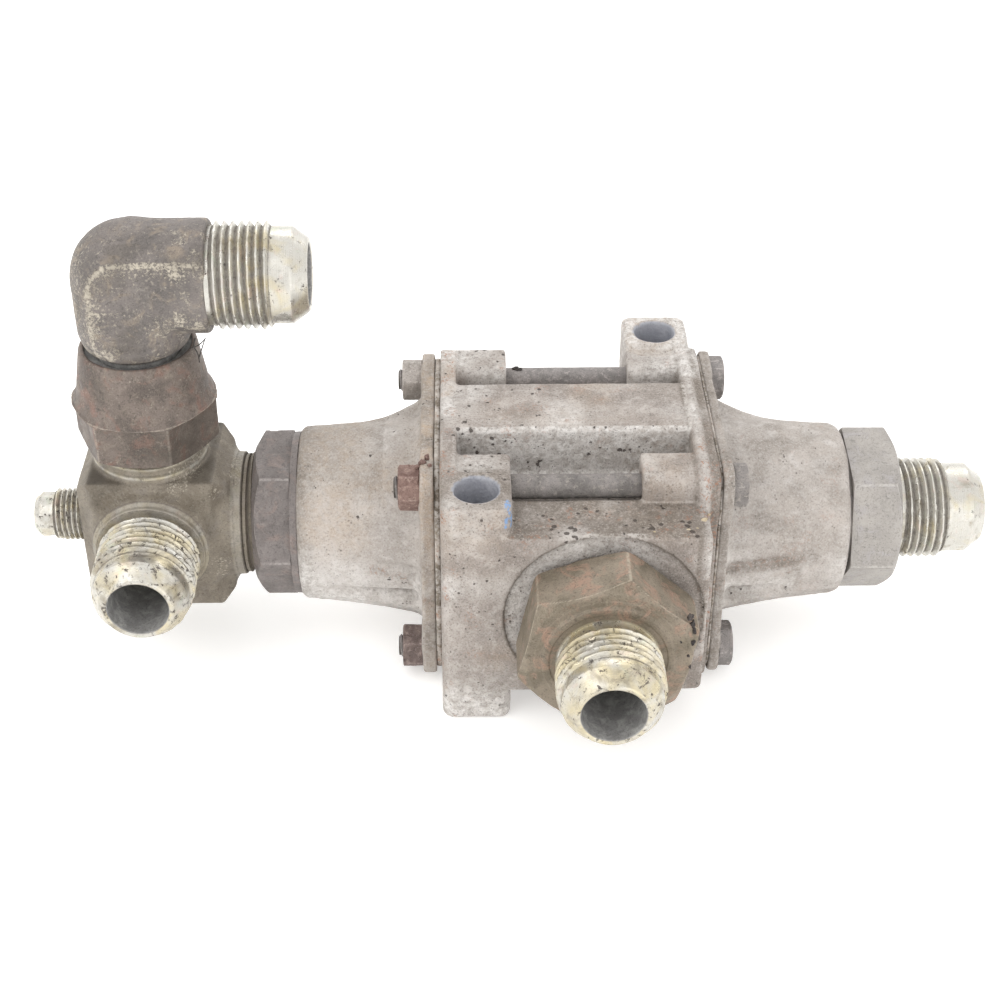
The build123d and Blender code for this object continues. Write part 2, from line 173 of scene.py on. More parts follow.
def outline(a, b, half, corner):
    """A rectangle with rounded corners."""
    a = np.abs(a) - half[0] + corner
    b = np.abs(b) - half[1] + corner
    return np.sqrt(np.maximum(a, 0) ** 2 + np.maximum(b, 0) ** 2) + np.minimum(np.maximum(a, b), 0) - corner


def slab(p, axis, low, high, centre, half, corner, r):
    """A plate across an axis, with rounded corners in its plane and rounded edges."""
    i, j = [n for n in range(3) if n != axis]
    flat = outline(p[i] - centre[0], p[j] - centre[1], half, corner)
    return stretch(flat, np.abs(p[axis] - (low + high) / 2) - (high - low) / 2, r)


def rod(p, axis, low, high, centre, radius, r=0.3):
    """A round bar along an axis, with rounded edges."""
    i, j = [n for n in range(3) if n != axis]
    flat = np.sqrt((p[i] - centre[0]) ** 2 + (p[j] - centre[1]) ** 2) - radius
    return stretch(flat, np.abs(p[axis] - (low + high) / 2) - (high - low) / 2, r)


def sample(field, low, step, points):
    """The field's value at points, between its samples."""
    q = np.clip((points - low) / step, 0, np.array(field.shape) - 1.001)
    i = q.astype(int)
    f = q - i
    out = np.zeros(len(points))
    for a, b, c in np.ndindex(2, 2, 2):
        weight = np.prod(np.where((a, b, c), f, 1 - f), axis=1)
        out += weight * field[i[:, 0] + a, i[:, 1] + b, i[:, 2] + c]
    return out


def casting(name, low, high, step, shape, grain=(), paint=None):
    """The closed surface of a distance field, found cell by cell, as a piece with attributes for its hollows,
    edges and paint.
    """
    inside = np.array(low, float), np.array(high, float)
    low, high = inside[0] - 3 * step, inside[1] + 3 * step
    count = np.ceil((high - low) / step).astype(int) + 1
    lines = [low[n] + step * np.arange(count[n]) for n in range(3)]
    grid = np.ix_(*lines)
    field = np.broadcast_to(shape(grid), tuple(count)).astype(np.float32)
    cells = count - 1
    total = int(np.prod(cells))
    sums, hits, quads = np.zeros((3, total)), np.zeros(total), []
    for axis in range(3):
        first = field[tuple(slice(0, -1) if n == axis else slice(None) for n in range(3))]
        second = field[tuple(slice(1, None) if n == axis else slice(None) for n in range(3))]
        at = np.argwhere((first < 0) != (second < 0))
        i, j = (axis + 1) % 3, (axis + 2) % 3
        keep = (at[:, i] > 0) & (at[:, j] > 0) & (at[:, i] < cells[i]) & (at[:, j] < cells[j])
        at = at[keep]
        a, b = first[tuple(at.T)], second[tuple(at.T)]
        place = at.astype(float)
        place[:, axis] += a / (a - b)
        corners = []
        for di, dj in ((1, 1), (0, 1), (0, 0), (1, 0)):
            cell = at.copy()
            cell[:, i] -= di
            cell[:, j] -= dj
            flat = np.ravel_multi_index(tuple(cell.T), tuple(cells))
            corners.append(flat)
            hits += np.bincount(flat, minlength=total)
            for n in range(3):
                sums[n] += np.bincount(flat, weights=place[:, n], minlength=total)
        quad = np.stack(corners, axis=1)
        quad[a >= 0] = quad[a >= 0][:, ::-1]
        quads.append(quad)
    used = hits > 0
    index = np.cumsum(used) - 1
    co = low + step * (sums[:, used] / hits[used]).T
    quads = index[np.concatenate(quads)]

    def at_points(points):
        return sample(field, low, step, points)

    def slope(points, e):
        g = [at_points(points + e * n) - at_points(points - e * n) for n in np.eye(3)]
        g = np.stack(g, axis=1) / (2 * e)
        return g / np.maximum(np.linalg.norm(g, axis=1, keepdims=True), 1e-6)

    for _ in range(2):
        off = np.clip(at_points(co), -step / 2, step / 2)
        co = co - slope(co, 0.6 * step) * off[:, None]
    # Corners and edges are told by how near the surface comes again along the normal
    normal = slope(co, step)
    hollow = sum(np.clip(1 - at_points(co + normal * d) / d, 0, 1) for d in (1.2, 2.4, 4.5)) / 3
    edge = sum(np.clip(1 + at_points(co - normal * d) / d, 0, 1) for d in (0.9, 1.8)) / 2
    for size, amount, seed in grain:
        co = co + normal * (amount * noise3(co, size, seed))[:, None]
    co = np.clip(co, *inside)
    attributes = {"hollow": hollow, "edge": edge}
    if paint:
        attributes.update(paint(co, normal))
    return make_mesh(name, co, quads, [], attributes)


# ------------------------------------------------------------------ turned and threaded pieces
def axes_of(direction):
    """Two axes across a direction, and the direction."""
    w = np.array(direction)
    u = np.array(Z if abs(w[2]) < 0.5 else X)
    return u, np.cross(w, u), w


def corner_angle(node, origin, direction, low, high):
    """The angle, in degrees, of one corner of a CAD node's hexagon."""
    u, v, w = axes_of(direction)
    p = node_points(node) - np.array(origin)
    p = p[(p @ w > low) & (p @ w < high)]
    k = np.argmax((p @ u) ** 2 + (p @ v) ** 2)
    return math.degrees(math.atan2(p[k] @ v, p[k] @ u))


def eased(points, radius):
    """Rounds each corner of a (distance, radius, zone) line with three points."""
    out = [points[0]]
    for before, here, after in zip(points, points[1:], points[2:]):
        a, b = np.array(before[:2]) - here[:2], np.array(after[:2]) - here[:2]
        la, lb = np.linalg.norm(a), np.linalg.norm(b)
        bend = math.degrees(math.acos(np.clip(-(a @ b) / (la * lb), -1, 1)))
        if bend < 12:
            out.append(here)
            continue
        d = min(radius, 0.35 * la, 0.35 * lb)
        p = np.array(here[:2])
        first, last = p + a / la * d, p + b / lb * d
        middle = 0.25 * first + 0.5 * p + 0.25 * last
        for q in (first, middle, last):
            out.append((q[0], q[1], here[2]))
    out.append(points[-1])
    return out


def run(zone, *points):
    """Points of a profile that share a zone: body, zinc or bore."""
    return [(s, r, zone) for s, r in points]


def spokes(theta, u, v):
    """Unit vectors at those angles, as one row."""
    return np.cos(theta)[None, :, None] * u + np.sin(theta)[None, :, None] * v


def signed_area(points):
    """Twice the area inside a closed line, negative when it runs clockwise."""
    return sum(a[0] * b[1] - b[0] * a[1] for a, b in zip(points, points[1:] + points[:1]))


def ring_faces(rows, seg):
    """Faces between rings of seg vertices, and fans to the two closing vertices that follow them."""
    here = np.arange(seg)
    nxt = (here + 1) % seg
    low = seg * np.arange(rows - 1)[:, None]
    quads = np.stack([low + here, low + nxt, low + seg + nxt, low + seg + here], axis=-1).reshape(-1, 4)
    closing, last = rows * seg, (rows - 1) * seg
    first_fan = np.stack([np.full(seg, closing), nxt, here], axis=1)
    last_fan = np.stack([np.full(seg, closing + 1), last + here, last + nxt], axis=1)
    return quads, np.concatenate([first_fan, last_fan])


def loop_faces(rows, seg):
    """Faces between rings of seg vertices, where the last ring meets the first."""
    i, j = np.meshgrid(np.arange(rows), np.arange(seg), indexing="ij")
    row, nxt, side = i * seg, (i + 1) % rows * seg, (j + 1) % seg
    return np.stack([row + j, row + side, nxt + side, nxt + j], axis=-1).reshape(-1, 4)


def cut_hexagon(s, r, turn, outer, hexagon, ridge_width, brow=0.0):
    """Cuts turned rings to a hexagon of (low, high, across flats, corner rounding), and marks its edges."""
    low, high, flats, rounding = hexagon
    turn = (turn + np.pi / 6) % (np.pi / 3) - np.pi / 6
    flat = flats / 2 / np.cos(np.pi / 6 - np.abs(turn))[None, :]
    bar = smin(flat, np.full_like(flat, flats / 3**0.5 - rounding), rounding * 1.6)
    bar = bar + brow * np.clip((s - high) / 0.9 + 1, 0, 1) ** 1.5
    inside = (s >= low - 0.01) & (s <= high + 0.01) & outer
    ridge = np.exp(-((r - bar) ** 2) / ridge_width)
    ridge = ridge + np.exp(-((flats * turn[None, :]) ** 2) / 0.5) * (r > bar - 0.2)
    return inside, np.clip(ridge, 0, 1), smin(r, np.broadcast_to(bar, r.shape), 0.12)


def lathe(
    name,
    origin,
    direction,
    profile,
    seg=144,
    step=0.7,
    soft=0.22,
    start=0.0,
    hexes=(),
    threads=(),
    wobble=0.035,
    seed=1,
):
    """A turned piece from (distance, radius, zone) points, from its closed inner end to its closed outer end.

    hexes are (low, high, across flats, corner rounding), and threads (low, high, major radius, pitch, depth).
    Corners are eased by soft, the surface wanders by wobble, and start turns the first corner, in degrees.
    """
    u, v, w = axes_of(direction)
    points = eased([(s, r, ZONES[z]) for s, r, z in profile], soft)
    rows = [points[0]]
    for a, b in zip(points, points[1:]):
        length = math.hypot(b[0] - a[0], b[1] - a[1])
        fine = step
        first, last, outmost = min(a[0], b[0]), max(a[0], b[0]), max(a[1], b[1])
        for low, high, major, pitch, depth in threads:
            if last > low - 0.1 and first < high + 0.1 and outmost > major - depth - 0.6:
                fine = pitch / 16
        for low, high, flats, rounding in hexes:
            if last > low - 0.1 and first < high + 0.1 and outmost > flats / 2 - 0.5:
                fine = min(fine, 0.35)
        n = max(1, math.ceil(length / fine))
        rows += [tuple(a[i] + (b[i] - a[i]) * k / n for i in range(2)) + (b[2],) for k in range(1, n + 1)]
    rows = np.array(rows)
    theta = np.radians(start) + 2 * np.pi * np.arange(seg) / seg
    s, r, zone = (np.repeat(rows[:, n : n + 1], seg, axis=1) for n in range(3))
    edge, groove = np.zeros_like(r), np.zeros_like(r)
    outer = zone != ZONES["bore"]
    for hexagon in hexes:
        inside, ridge, cut = cut_hexagon(s, r, theta - np.radians(start), outer, hexagon, 0.03)
        edge = np.where(inside, ridge, edge)
        r = np.where(inside, cut, r)
    for low, high, major, pitch, depth in threads:
        phase = ((s - low) / pitch - theta[None, :] / (2 * np.pi)) % 1.0
        height = np.clip((0.90 - np.abs(phase - 0.5) * 2) / 0.72, 0, 1)
        nick = noise3(np.stack([s, r * np.cos(theta), r * np.sin(theta)], axis=-1), 1.7, seed + 3)
        height = height - 0.35 * smooth_step(nick, 0.3, 0.9) * (height > 0.75)
        inside = (s >= low) & (s <= high) & outer
        cut = np.minimum(r, major - depth * (1 - height))
        groove = np.where(inside, np.clip((major - cut) / depth, 0, 1), groove)
        r = np.where(inside, cut, r)
    ring = spokes(theta, u, v)
    co = np.array(origin) + s[..., None] * w + r[..., None] * ring
    dent = wobble * (noise3(co, 5.0, seed) + 0.7 * noise3(co, 1.6, seed + 1))
    knock = smooth_step(noise3(co, 2.6, seed + 2), 0.62, 0.9) * (0.3 + edge + (groove < 0.2))
    dent = dent - 4 * wobble * knock
    co = co + (dent * outer)[..., None] * ring
    # The first and last rings are only closing points
    quads, tris = ring_faces(len(rows) - 2, seg)
    ends = [co[0].mean(0), co[-1].mean(0)]
    co = np.concatenate([co[1:-1].reshape(-1, 3), ends])

    def inner(values, ends):
        return np.concatenate([values[1:-1].reshape(-1), ends])

    attributes = {
        "zinc": inner((zone == ZONES["zinc"]).astype(float), [0, 0]),
        "bore": inner((zone == ZONES["bore"]).astype(float), [1, 0]),
        "groove": inner(groove, [0, 0]),
        "edge": inner(edge, [0, 0]),
        "axial": inner(s, [0, 0]),
    }
    # The faces point outwards when the line from the inner end to the outer end runs clockwise
    if signed_area(points) > 0:
        quads, tris = quads[:, ::-1], tris[:, ::-1]
    return make_mesh(name, co, quads, tris, attributes, sharp=40)


# ------------------------------------------------------------------ shader building
class Look:
    """Builds one procedural material. Lengths are in millimetres on the object itself."""

    def __init__(self, name):
        self.material = bpy.data.materials.new(name)
        self.material.use_nodes = True
        self.tree = self.material.node_tree
        self.shader = self.tree.nodes["Principled BSDF"]
        place = self.tree.nodes.new("ShaderNodeTexCoord")
        self.p = self.vector("SCALE", place.outputs["Object"], 1000.0)

    def link(self, value, socket):
        if isinstance(value, bpy.types.NodeSocket):
            self.tree.links.new(value, socket)
        elif hasattr(socket.default_value, "__len__") and len(socket.default_value) == 4:
            socket.default_value = (*value[:3], 1)
        else:
            socket.default_value = value

    def vector(self, operation, a, b):
        node = self.tree.nodes.new("ShaderNodeVectorMath")
        node.operation = operation
        self.link(a, node.inputs[0])
        self.link(b, node.inputs["Scale"] if operation == "SCALE" else node.inputs[1])
        return node.outputs[0]

    def noise(self, size, detail=3.0, rough=0.55, warp=0.0, shift=0.0, vector=None):
        node = self.tree.nodes.new("ShaderNodeTexNoise")
        where = vector or self.p
        if shift:
            where = self.vector("ADD", where, (shift, 2 * shift, 3 * shift))
        self.link(where, node.inputs["Vector"])
        node.inputs["Scale"].default_value = 1 / size
        node.inputs["Detail"].default_value = detail
        node.inputs["Roughness"].default_value = rough
        node.inputs["Distortion"].default_value = warp
        return node.outputs["Fac"]

    def cells(self, size):
        node = self.tree.nodes.new("ShaderNodeTexVoronoi")
        self.link(self.p, node.inputs["Vector"])
        node.inputs["Scale"].default_value = 1 / size
        return node.outputs["Distance"]

    def attr(self, name):
        node = self.tree.nodes.new("ShaderNodeAttribute")
        node.attribute_name = name
        return node.outputs["Fac"]

    def math(self, operation, a, b=0.0, clamp=False):
        node = self.tree.nodes.new("ShaderNodeMath")
        node.operation = operation
        node.use_clamp = clamp
        self.link(a, node.inputs[0])
        self.link(b, node.inputs[1])
        return node.outputs[0]

    def band(self, value, low, high, to_low=0.0, to_high=1.0):
        node = self.tree.nodes.new("ShaderNodeMapRange")
        node.interpolation_type = "SMOOTHSTEP"
        self.link(value, node.inputs["Value"])
        for key, number in (("From Min", low), ("From Max", high), ("To Min", to_low), ("To Max", to_high)):
            node.inputs[key].default_value = number
        return node.outputs["Result"]

    def mix(self, fac, a, b):
        node = self.tree.nodes.new("ShaderNodeMix")
        node.data_type = "RGBA"
        self.link(fac, node.inputs[0])
        self.link(a, node.inputs[6])
        self.link(b, node.inputs[7])
        return node.outputs[2]

    def times(self, *values):
        out = values[0]
        for value in values[1:]:
            out = self.math("MULTIPLY", out, value)
        return out

    def bump(self, height, distance, strength):
        node = self.tree.nodes.new("ShaderNodeBump")
        node.inputs["Strength"].default_value = strength
        node.inputs["Distance"].default_value = distance * 0.001
        self.link(height, node.inputs["Height"])
        return node.outputs["Normal"]

    def done(self, colour, rough, metal=0.0, normal=None, specular=0.5, glow=0.0):
        self.link(colour, self.shader.inputs["Base Color"])
        self.link(rough, self.shader.inputs["Roughness"])
        self.link(metal, self.shader.inputs["Metallic"])
        self.shader.inputs["Specular IOR Level"].default_value = specular
        self.shader.inputs["Emission Strength"].default_value = glow
        if glow:
            self.link(colour, self.shader.inputs["Emission Color"])
        if normal:
            self.link(normal, self.shader.inputs["Normal"])
        return self.material


def cast_look(name, dark, mid, light, grit=1.0):
    """Weathered sand-cast aluminium: mottled and pitted, with a pale crust that in places carries painted
    light, stains and grime in its corners.
    """
    k = Look(name)
    broad, patch, fine = k.noise(14, 3), k.noise(4.0, 5, 0.65, 0.5), k.noise(0.5, 4, 0.65)
    colour = k.mix(k.band(broad, 0.32, 0.68), dark, mid)
    colour = k.mix(k.band(patch, 0.44, 0.74, 0, 0.8), colour, light)
    tint = k.noise(0.35, 2, 0.6, 0, 41)
    colour = k.mix(k.band(tint, 0.42, 0.30, 0, 0.35), colour, (0.40, 0.30, 0.275))
    colour = k.mix(k.band(tint, 0.60, 0.72, 0, 0.30), colour, (0.36, 0.38, 0.33))
    warm = k.times(k.attr("warm"), k.band(k.noise(3.0, 5, 0.65, 0.5, 7), 0.35, 0.65, 0.3, 1))
    colour = k.mix(warm, colour, (0.44, 0.345, 0.26))
    shade = k.times(k.attr("shade"), k.band(k.noise(2.2, 6, 0.7, 0.8, 11), 0.3, 0.62, 0.4, 1))
    colour = k.mix(k.times(shade, 0.85), colour, (0.155, 0.13, 0.105))
    # Pale crust; the same attribute also lays painted light on some surfaces
    crust = k.band(k.noise(1.6, 6, 0.7, 0.3, 3), 0.30, 0.66, 0.15, 1)
    bloom = k.times(k.attr("bloom"), crust)
    colour = k.mix(bloom, colour, (0.70, 0.675, 0.65))
    colour = k.mix(k.band(fine, 0.52, 0.70, 0, 0.5), colour, light)
    colour = k.mix(k.band(fine, 0.48, 0.31, 0, 0.6 * grit), colour, tuple(0.42 * c for c in dark))
    worn = k.times(k.band(k.attr("edge"), 0.16, 0.5), k.band(k.noise(1.3, 5, 0.7, 0, 5), 0.42, 0.60))
    colour = k.mix(k.times(worn, 0.7), colour, (0.58, 0.545, 0.51))
    # Red-brown patches; on the right cap they also deepen the painted shade in its front valley
    rust = k.times(k.attr("rust"), k.band(k.noise(1.1, 6, 0.75, 0.6, 33), 0.50, 0.62))
    colour = k.mix(rust, colour, (0.34, 0.17, 0.105))
    seam = k.times(k.math("SUBTRACT", k.noise(1.8, 6, 0.7, 0.5, 9), 0.5), 0.6)
    seam = k.math("ADD", k.attr("hollow"), seam)
    grime = k.band(seam, 0.30, 0.68)
    colour = k.mix(k.times(grime, 0.72), colour, (0.105, 0.085, 0.066))
    spots = k.cells(2.3)
    ragged = k.times(k.math("SUBTRACT", k.noise(0.8, 4, 0.7, 0, 51), 0.5), 0.55)
    size = k.band(k.noise(5.0, 2, 0.5, 0, 13), 0.42, 0.70)
    size = k.times(size, k.band(k.attr("pit"), 0.1, 0.9, 0.2, 0.42))
    pit = k.band(k.math("SUBTRACT", size, k.math("ADD", spots, ragged)), 0.0, 0.06)
    pit = k.times(pit, k.band(k.attr("pit"), 0.02, 0.25))
    small = k.cells(1.0)
    some = k.times(k.band(k.noise(3.0, 3, 0.5, 0, 17), 0.47, 0.75), 0.33)
    speck = k.band(k.math("SUBTRACT", some, small), 0, 0.05)
    speck = k.times(speck, k.band(k.attr("pit"), 0, 0.3, 0.35, 0.9))
    pit = k.math("MAXIMUM", pit, speck)
    colour = k.mix(k.times(pit, 0.85), colour, (0.06, 0.048, 0.042))
    smear = k.times(k.attr("smear"), k.band(k.noise(1.5, 5, 0.65, 0, 19), 0.45, 0.56))
    colour = k.mix(smear, colour, (0.22, 0.34, 0.56))
    colour = k.mix(k.attr("blue"), colour, (0.40, 0.44, 0.53))
    height = k.math("ADD", k.times(fine, 0.55), k.times(k.noise(1.3, 5, 0.65, 0, 21), 1.0))
    height = k.math("ADD", height, k.times(bloom, 0.4))
    height = k.math("SUBTRACT", height, k.times(pit, 1.1))
    normal = k.bump(height, 0.42, 0.85)
    rough = k.band(patch, 0.3, 0.7, 0.66, 0.9)
    return k.done(colour, rough, k.times(k.math("SUBTRACT", 1.0, grime), 0.10), normal, 0.3)


def fitting_look(name, dark, mid, light, accent, speckle, metal, gold, tarnish, sooty):
    """A forged or turned steel fitting: a patina on the body, and worn yellow zinc on threads and cones."""
    k = Look(name)
    zinc, bore, groove, edge = k.attr("zinc"), k.attr("bore"), k.attr("groove"), k.attr("edge")
    hollow = k.attr("hollow")
    broad, patch, fine = k.noise(9, 3, 0.55, 0.3), k.noise(2.6, 6, 0.7, 0.6), k.noise(0.45, 4, 0.65)
    patina = k.mix(k.band(broad, 0.35, 0.66), dark, mid)
    patina = k.mix(k.band(k.noise(6.0, 5, 0.65, 1.0, 4), 0.50, 0.68, 0, 0.75), patina, accent)
    patina = k.mix(k.band(patch, 0.50, 0.78, 0, 0.6), patina, light)
    patina = k.mix(k.band(fine, 0.54, 0.74, 0, 0.35), patina, light)
    patina = k.mix(k.band(fine, 0.48, 0.28, 0, 0.6), patina, tuple(0.35 * c for c in dark))
    sooted = k.band(k.noise(1.6, 8, 0.8, 0.5, 47), 0.54, 0.62, 0, 0.5)
    patina = k.mix(sooted, patina, tuple(0.45 * c for c in dark))
    flecks = k.band(k.noise(0.8, 6, 0.75, 0.2, 8), 0.54, 0.66)
    flecks = k.times(flecks, k.band(k.noise(3.5, 4, 0.6, 0.3, 29), 0.40, 0.62, 0.15, 1))
    patina = k.mix(k.times(flecks, speckle), patina, (0.44, 0.39, 0.32))
    # Rubbed edges; on the swivel nut the edge attribute also carries a painted highlight along the hexagon's
    # brow
    worn = k.times(k.band(edge, 0.25, 0.8), k.band(k.noise(1.1, 6, 0.75, 0, 12), 0.40, 0.56, 0.15, 1))
    patina = k.mix(k.times(worn, 0.5), patina, tuple(min(1.0, 1.15 * c + 0.07) for c in light))
    spread = k.times(k.math("SUBTRACT", k.attr("crust"), 0.7), 0.16)
    spread = k.math("ADD", k.noise(0.8, 8, 0.8, 0.4, 37), spread)
    crust = k.times(k.band(spread, 0.46, 0.56, 0, 0.9), k.band(k.attr("crust"), 0.05, 0.3))
    patina = k.mix(crust, patina, (0.50, 0.45, 0.37))
    patina = k.mix(k.band(hollow, 0.34, 0.8, 0, 0.8), patina, (0.055, 0.045, 0.035))
    patina = k.mix(k.times(k.attr("shade"), 0.8), patina, (0.07, 0.06, 0.048))
    # Zinc on the threads, noses and cones
    yellow = k.band(k.noise(7.0, 3, 0.5, 0.8, 15), 0.5 - gold / 3, 0.86 - gold / 3)
    plate = k.mix(yellow, (0.575, 0.56, 0.52), (0.58, 0.51, 0.345))
    plate = k.mix(k.band(k.noise(4.0, 3, 0.5, 1.0, 18), 0.58, 0.74, 0, 0.4), plate, (0.62, 0.47, 0.42))
    plate = k.mix(k.band(k.noise(5.0, 3, 0.5, 1.0, 23), 0.60, 0.74, 0, 0.4), plate, (0.50, 0.57, 0.45))
    dull = k.band(k.noise(6.0, 6, 0.65, 0.8, 27), 0.62 - tarnish / 2.5, 0.76 - tarnish / 4)
    plate = k.mix(k.times(dull, 0.75), plate, (0.27, 0.235, 0.18))
    plate = k.mix(k.band(fine, 0.48, 0.3, 0, 0.3), plate, (0.25, 0.22, 0.17))
    turning = k.tree.nodes.new("ShaderNodeCombineXYZ")
    k.link(k.attr("axial"), turning.inputs[0])
    lines = k.noise(0.22, 2, 0.6, 0, 0, turning.outputs[0])
    plate = k.mix(k.band(lines, 0.4, 0.65, 0, 0.3), plate, (0.36, 0.33, 0.27))
    soot = k.noise(1.9, 8, 0.78, 0.6, 31)
    soot = k.band(soot, 0.66 - 0.15 * sooty, 0.68 - 0.14 * sooty)
    # Grime in the thread roots, and on the cross the painted shade lines in its steps
    depth = k.times(k.math("SUBTRACT", k.noise(1.2, 6, 0.75, 0.4, 35), 0.5), 1.1)
    depth = k.math("ADD", groove, depth)
    dirt_and_shade = k.times(k.band(depth, 0.55, 1.05), k.math("GREATER_THAN", groove, 0.02))
    colour = k.mix(zinc, patina, plate)
    colour = k.mix(k.times(dirt_and_shade, 0.85), colour, (0.135, 0.115, 0.098))
    colour = k.mix(k.times(soot, zinc, 0.9), colour, (0.065, 0.05, 0.045))
    black = k.math("MAXIMUM", k.times(soot, zinc), dirt_and_shade)
    wall = k.mix(k.band(k.noise(3.0, 6, 0.65, 0.5, 39), 0.4, 0.7), (0.24, 0.235, 0.23), (0.42, 0.415, 0.40))
    wall = k.mix(k.band(fine, 0.5, 0.3, 0, 0.6), wall, (0.10, 0.09, 0.085))
    colour = k.mix(bore, colour, wall)
    clean = k.math("SUBTRACT", 1.0, black)
    metallic = k.math("MULTIPLY", clean, k.band(zinc, 0, 1, metal, 0.8))
    metallic = k.times(metallic, k.math("SUBTRACT", 1.0, k.times(bore, 0.8)))
    shine = k.band(k.noise(2.0, 5, 0.65, 0, 43), 0.3, 0.7, 0.22, 0.45)
    dry = k.times(k.math("SUBTRACT", 1.0, zinc), k.band(patch, 0.3, 0.7, 0.48, 0.74))
    rough = k.math("ADD", k.times(zinc, shine), dry)
    rough = k.math("ADD", rough, k.times(black, 0.35), clamp=True)
    height = k.math("ADD", k.times(fine, 0.5), k.times(patch, 0.6))
    height = k.times(height, k.math("SUBTRACT", 1.0, k.times(zinc, 0.7)))
    height = k.math("ADD", height, k.times(lines, k.band(zinc, 0, 1, 0.05, 0.25)))
    height = k.math("SUBTRACT", height, k.times(soot, zinc, 0.5))
    height = k.math("ADD", height, k.times(crust, 0.5))
    normal = k.bump(height, 0.18, 0.8)
    return k.done(colour, rough, metallic, normal, 0.45)


def rust_look(name, dark, mid, light):
    """A bolt's head, rod or nut: rusted or sooty steel, crumbly, with its edges rubbed."""
    k = Look(name)
    broad, patch, fine = k.noise(5, 4, 0.6, 0.5), k.noise(1.4, 7, 0.75, 0.5), k.noise(0.35, 4, 0.65)
    colour = k.mix(k.band(broad, 0.35, 0.65), dark, mid)
    colour = k.mix(k.band(patch, 0.5, 0.66, 0, 0.8), colour, light)
    worn = k.times(k.band(k.attr("edge"), 0.3, 0.9), k.band(patch, 0.42, 0.58))
    colour = k.mix(k.times(worn, 0.5), colour, tuple(1.2 * c + 0.05 for c in light))
    colour = k.mix(k.band(fine, 0.5, 0.28, 0, 0.6), colour, tuple(0.3 * c for c in dark))
    colour = k.mix(k.band(k.attr("groove"), 0.3, 0.9, 0, 0.7), colour, (0.05, 0.042, 0.036))
    height = k.math("ADD", k.times(patch, 0.9), k.times(fine, 0.5))
    rough, metal = k.band(patch, 0.3, 0.7, 0.6, 0.92), k.band(patch, 0.4, 0.7, 0.2, 0.03)
    return k.done(colour, rough, metal, k.bump(height, 0.3, 0.9), 0.35)


def plain_look(name, a, b, rough, metal, size=1.2, depth=0.06, specular=0.5):
    """A quieter material for rods, rings, seals and springs, mottled and slightly rough."""
    k = Look(name)
    patch, fine = k.noise(size * 3, 4, 0.6, 0.5), k.noise(size / 3, 3, 0.6)
    colour = k.mix(k.band(patch, 0.35, 0.65), a, b)
    colour = k.mix(k.times(k.band(fine, 0.5, 0.3), 0.4), colour, tuple(0.4 * c for c in a))
    height = k.math("ADD", patch, k.times(fine, 0.6))
    spread = k.band(patch, 0.3, 0.7, rough - 0.1, min(1.0, rough + 0.12))
    return k.done(colour, spread, metal, k.bump(height, depth, 0.8), specular)


BODY_LOOK = cast_look("cast_body_look", (0.25, 0.218, 0.196), (0.375, 0.335, 0.305), (0.52, 0.48, 0.45))
CAP_LOOK = cast_look("cast_cap_look", (0.345, 0.312, 0.285), (0.45, 0.41, 0.38), (0.58, 0.55, 0.53), 0.7)
GASKET_LOOK = cast_look("gasket_look", (0.17, 0.14, 0.108), (0.28, 0.235, 0.185), (0.40, 0.355, 0.30))
GREY_HEX = fitting_look(
    "grey_hex_look", (0.30, 0.28, 0.26), (0.37, 0.345, 0.32), (0.46, 0.435, 0.41), (0.35, 0.33, 0.33),
    0.05, 0.15, 0.12, 0.2, 0.3
)
DARK_HEX = fitting_look(
    "dark_hex_look", (0.15, 0.132, 0.125), (0.205, 0.182, 0.174), (0.32, 0.29, 0.275), (0.24, 0.185, 0.165),
    0.05, 0.2, 0.3, 0.5, 0.6
)
BRONZE_HEX = fitting_look(
    "bronze_hex_look", (0.165, 0.138, 0.10), (0.25, 0.208, 0.16), (0.36, 0.31, 0.235), (0.36, 0.225, 0.165),
    0.10, 0.3, 0.6, 0.32, 0.58
)
OLIVE = fitting_look(
    "olive_forging_look", (0.155, 0.13, 0.10), (0.225, 0.195, 0.155), (0.34, 0.31, 0.26), (0.20, 0.175, 0.15),
    0.3, 0.25, 0.4, 0.35, 0.62
)
BROWN = fitting_look(
    "brown_forging_look", (0.105, 0.085, 0.074), (0.185, 0.15, 0.13), (0.34, 0.29, 0.235),
    (0.225, 0.13, 0.103), 0.5, 0.3, 0.3, 0.5, 0.5
)
DARK = fitting_look(
    "dark_forging_look", (0.125, 0.112, 0.105), (0.185, 0.163, 0.152), (0.32, 0.29, 0.26), (0.27, 0.22, 0.17),
    0.8, 0.25, 0.12, 0.15, 0.36
)
ROD_LOOK = rust_look("tie_rod_look", (0.16, 0.148, 0.14), (0.25, 0.23, 0.22), (0.35, 0.32, 0.29))
HEAD_LOOK = rust_look("bolt_head_look", (0.21, 0.196, 0.19), (0.31, 0.285, 0.275), (0.42, 0.385, 0.365))
RUST_LOOK = rust_look("rusty_nut_look", (0.14, 0.082, 0.07), (0.25, 0.165, 0.14), (0.37, 0.275, 0.235))
DARK_NUT_LOOK = rust_look(
    "dark_rusty_nut_look", (0.13, 0.098, 0.09), (0.215, 0.165, 0.15), (0.33, 0.26, 0.235)
)
GREY_NUT_LOOK = rust_look("grey_nut_look", (0.29, 0.265, 0.24), (0.44, 0.40, 0.37), (0.58, 0.53, 0.50))
CRUMB_LOOK = rust_look("crumb_look", (0.035, 0.03, 0.03), (0.07, 0.06, 0.055), (0.14, 0.12, 0.11))
FLAKE_LOOK = rust_look("flake_look", (0.42, 0.34, 0.22), (0.56, 0.47, 0.33), (0.66, 0.60, 0.50))
BRONZE_LOOK = plain_look("seat_bronze_look", (0.55, 0.40, 0.20), (0.66, 0.52, 0.30), 0.35, 0.9)
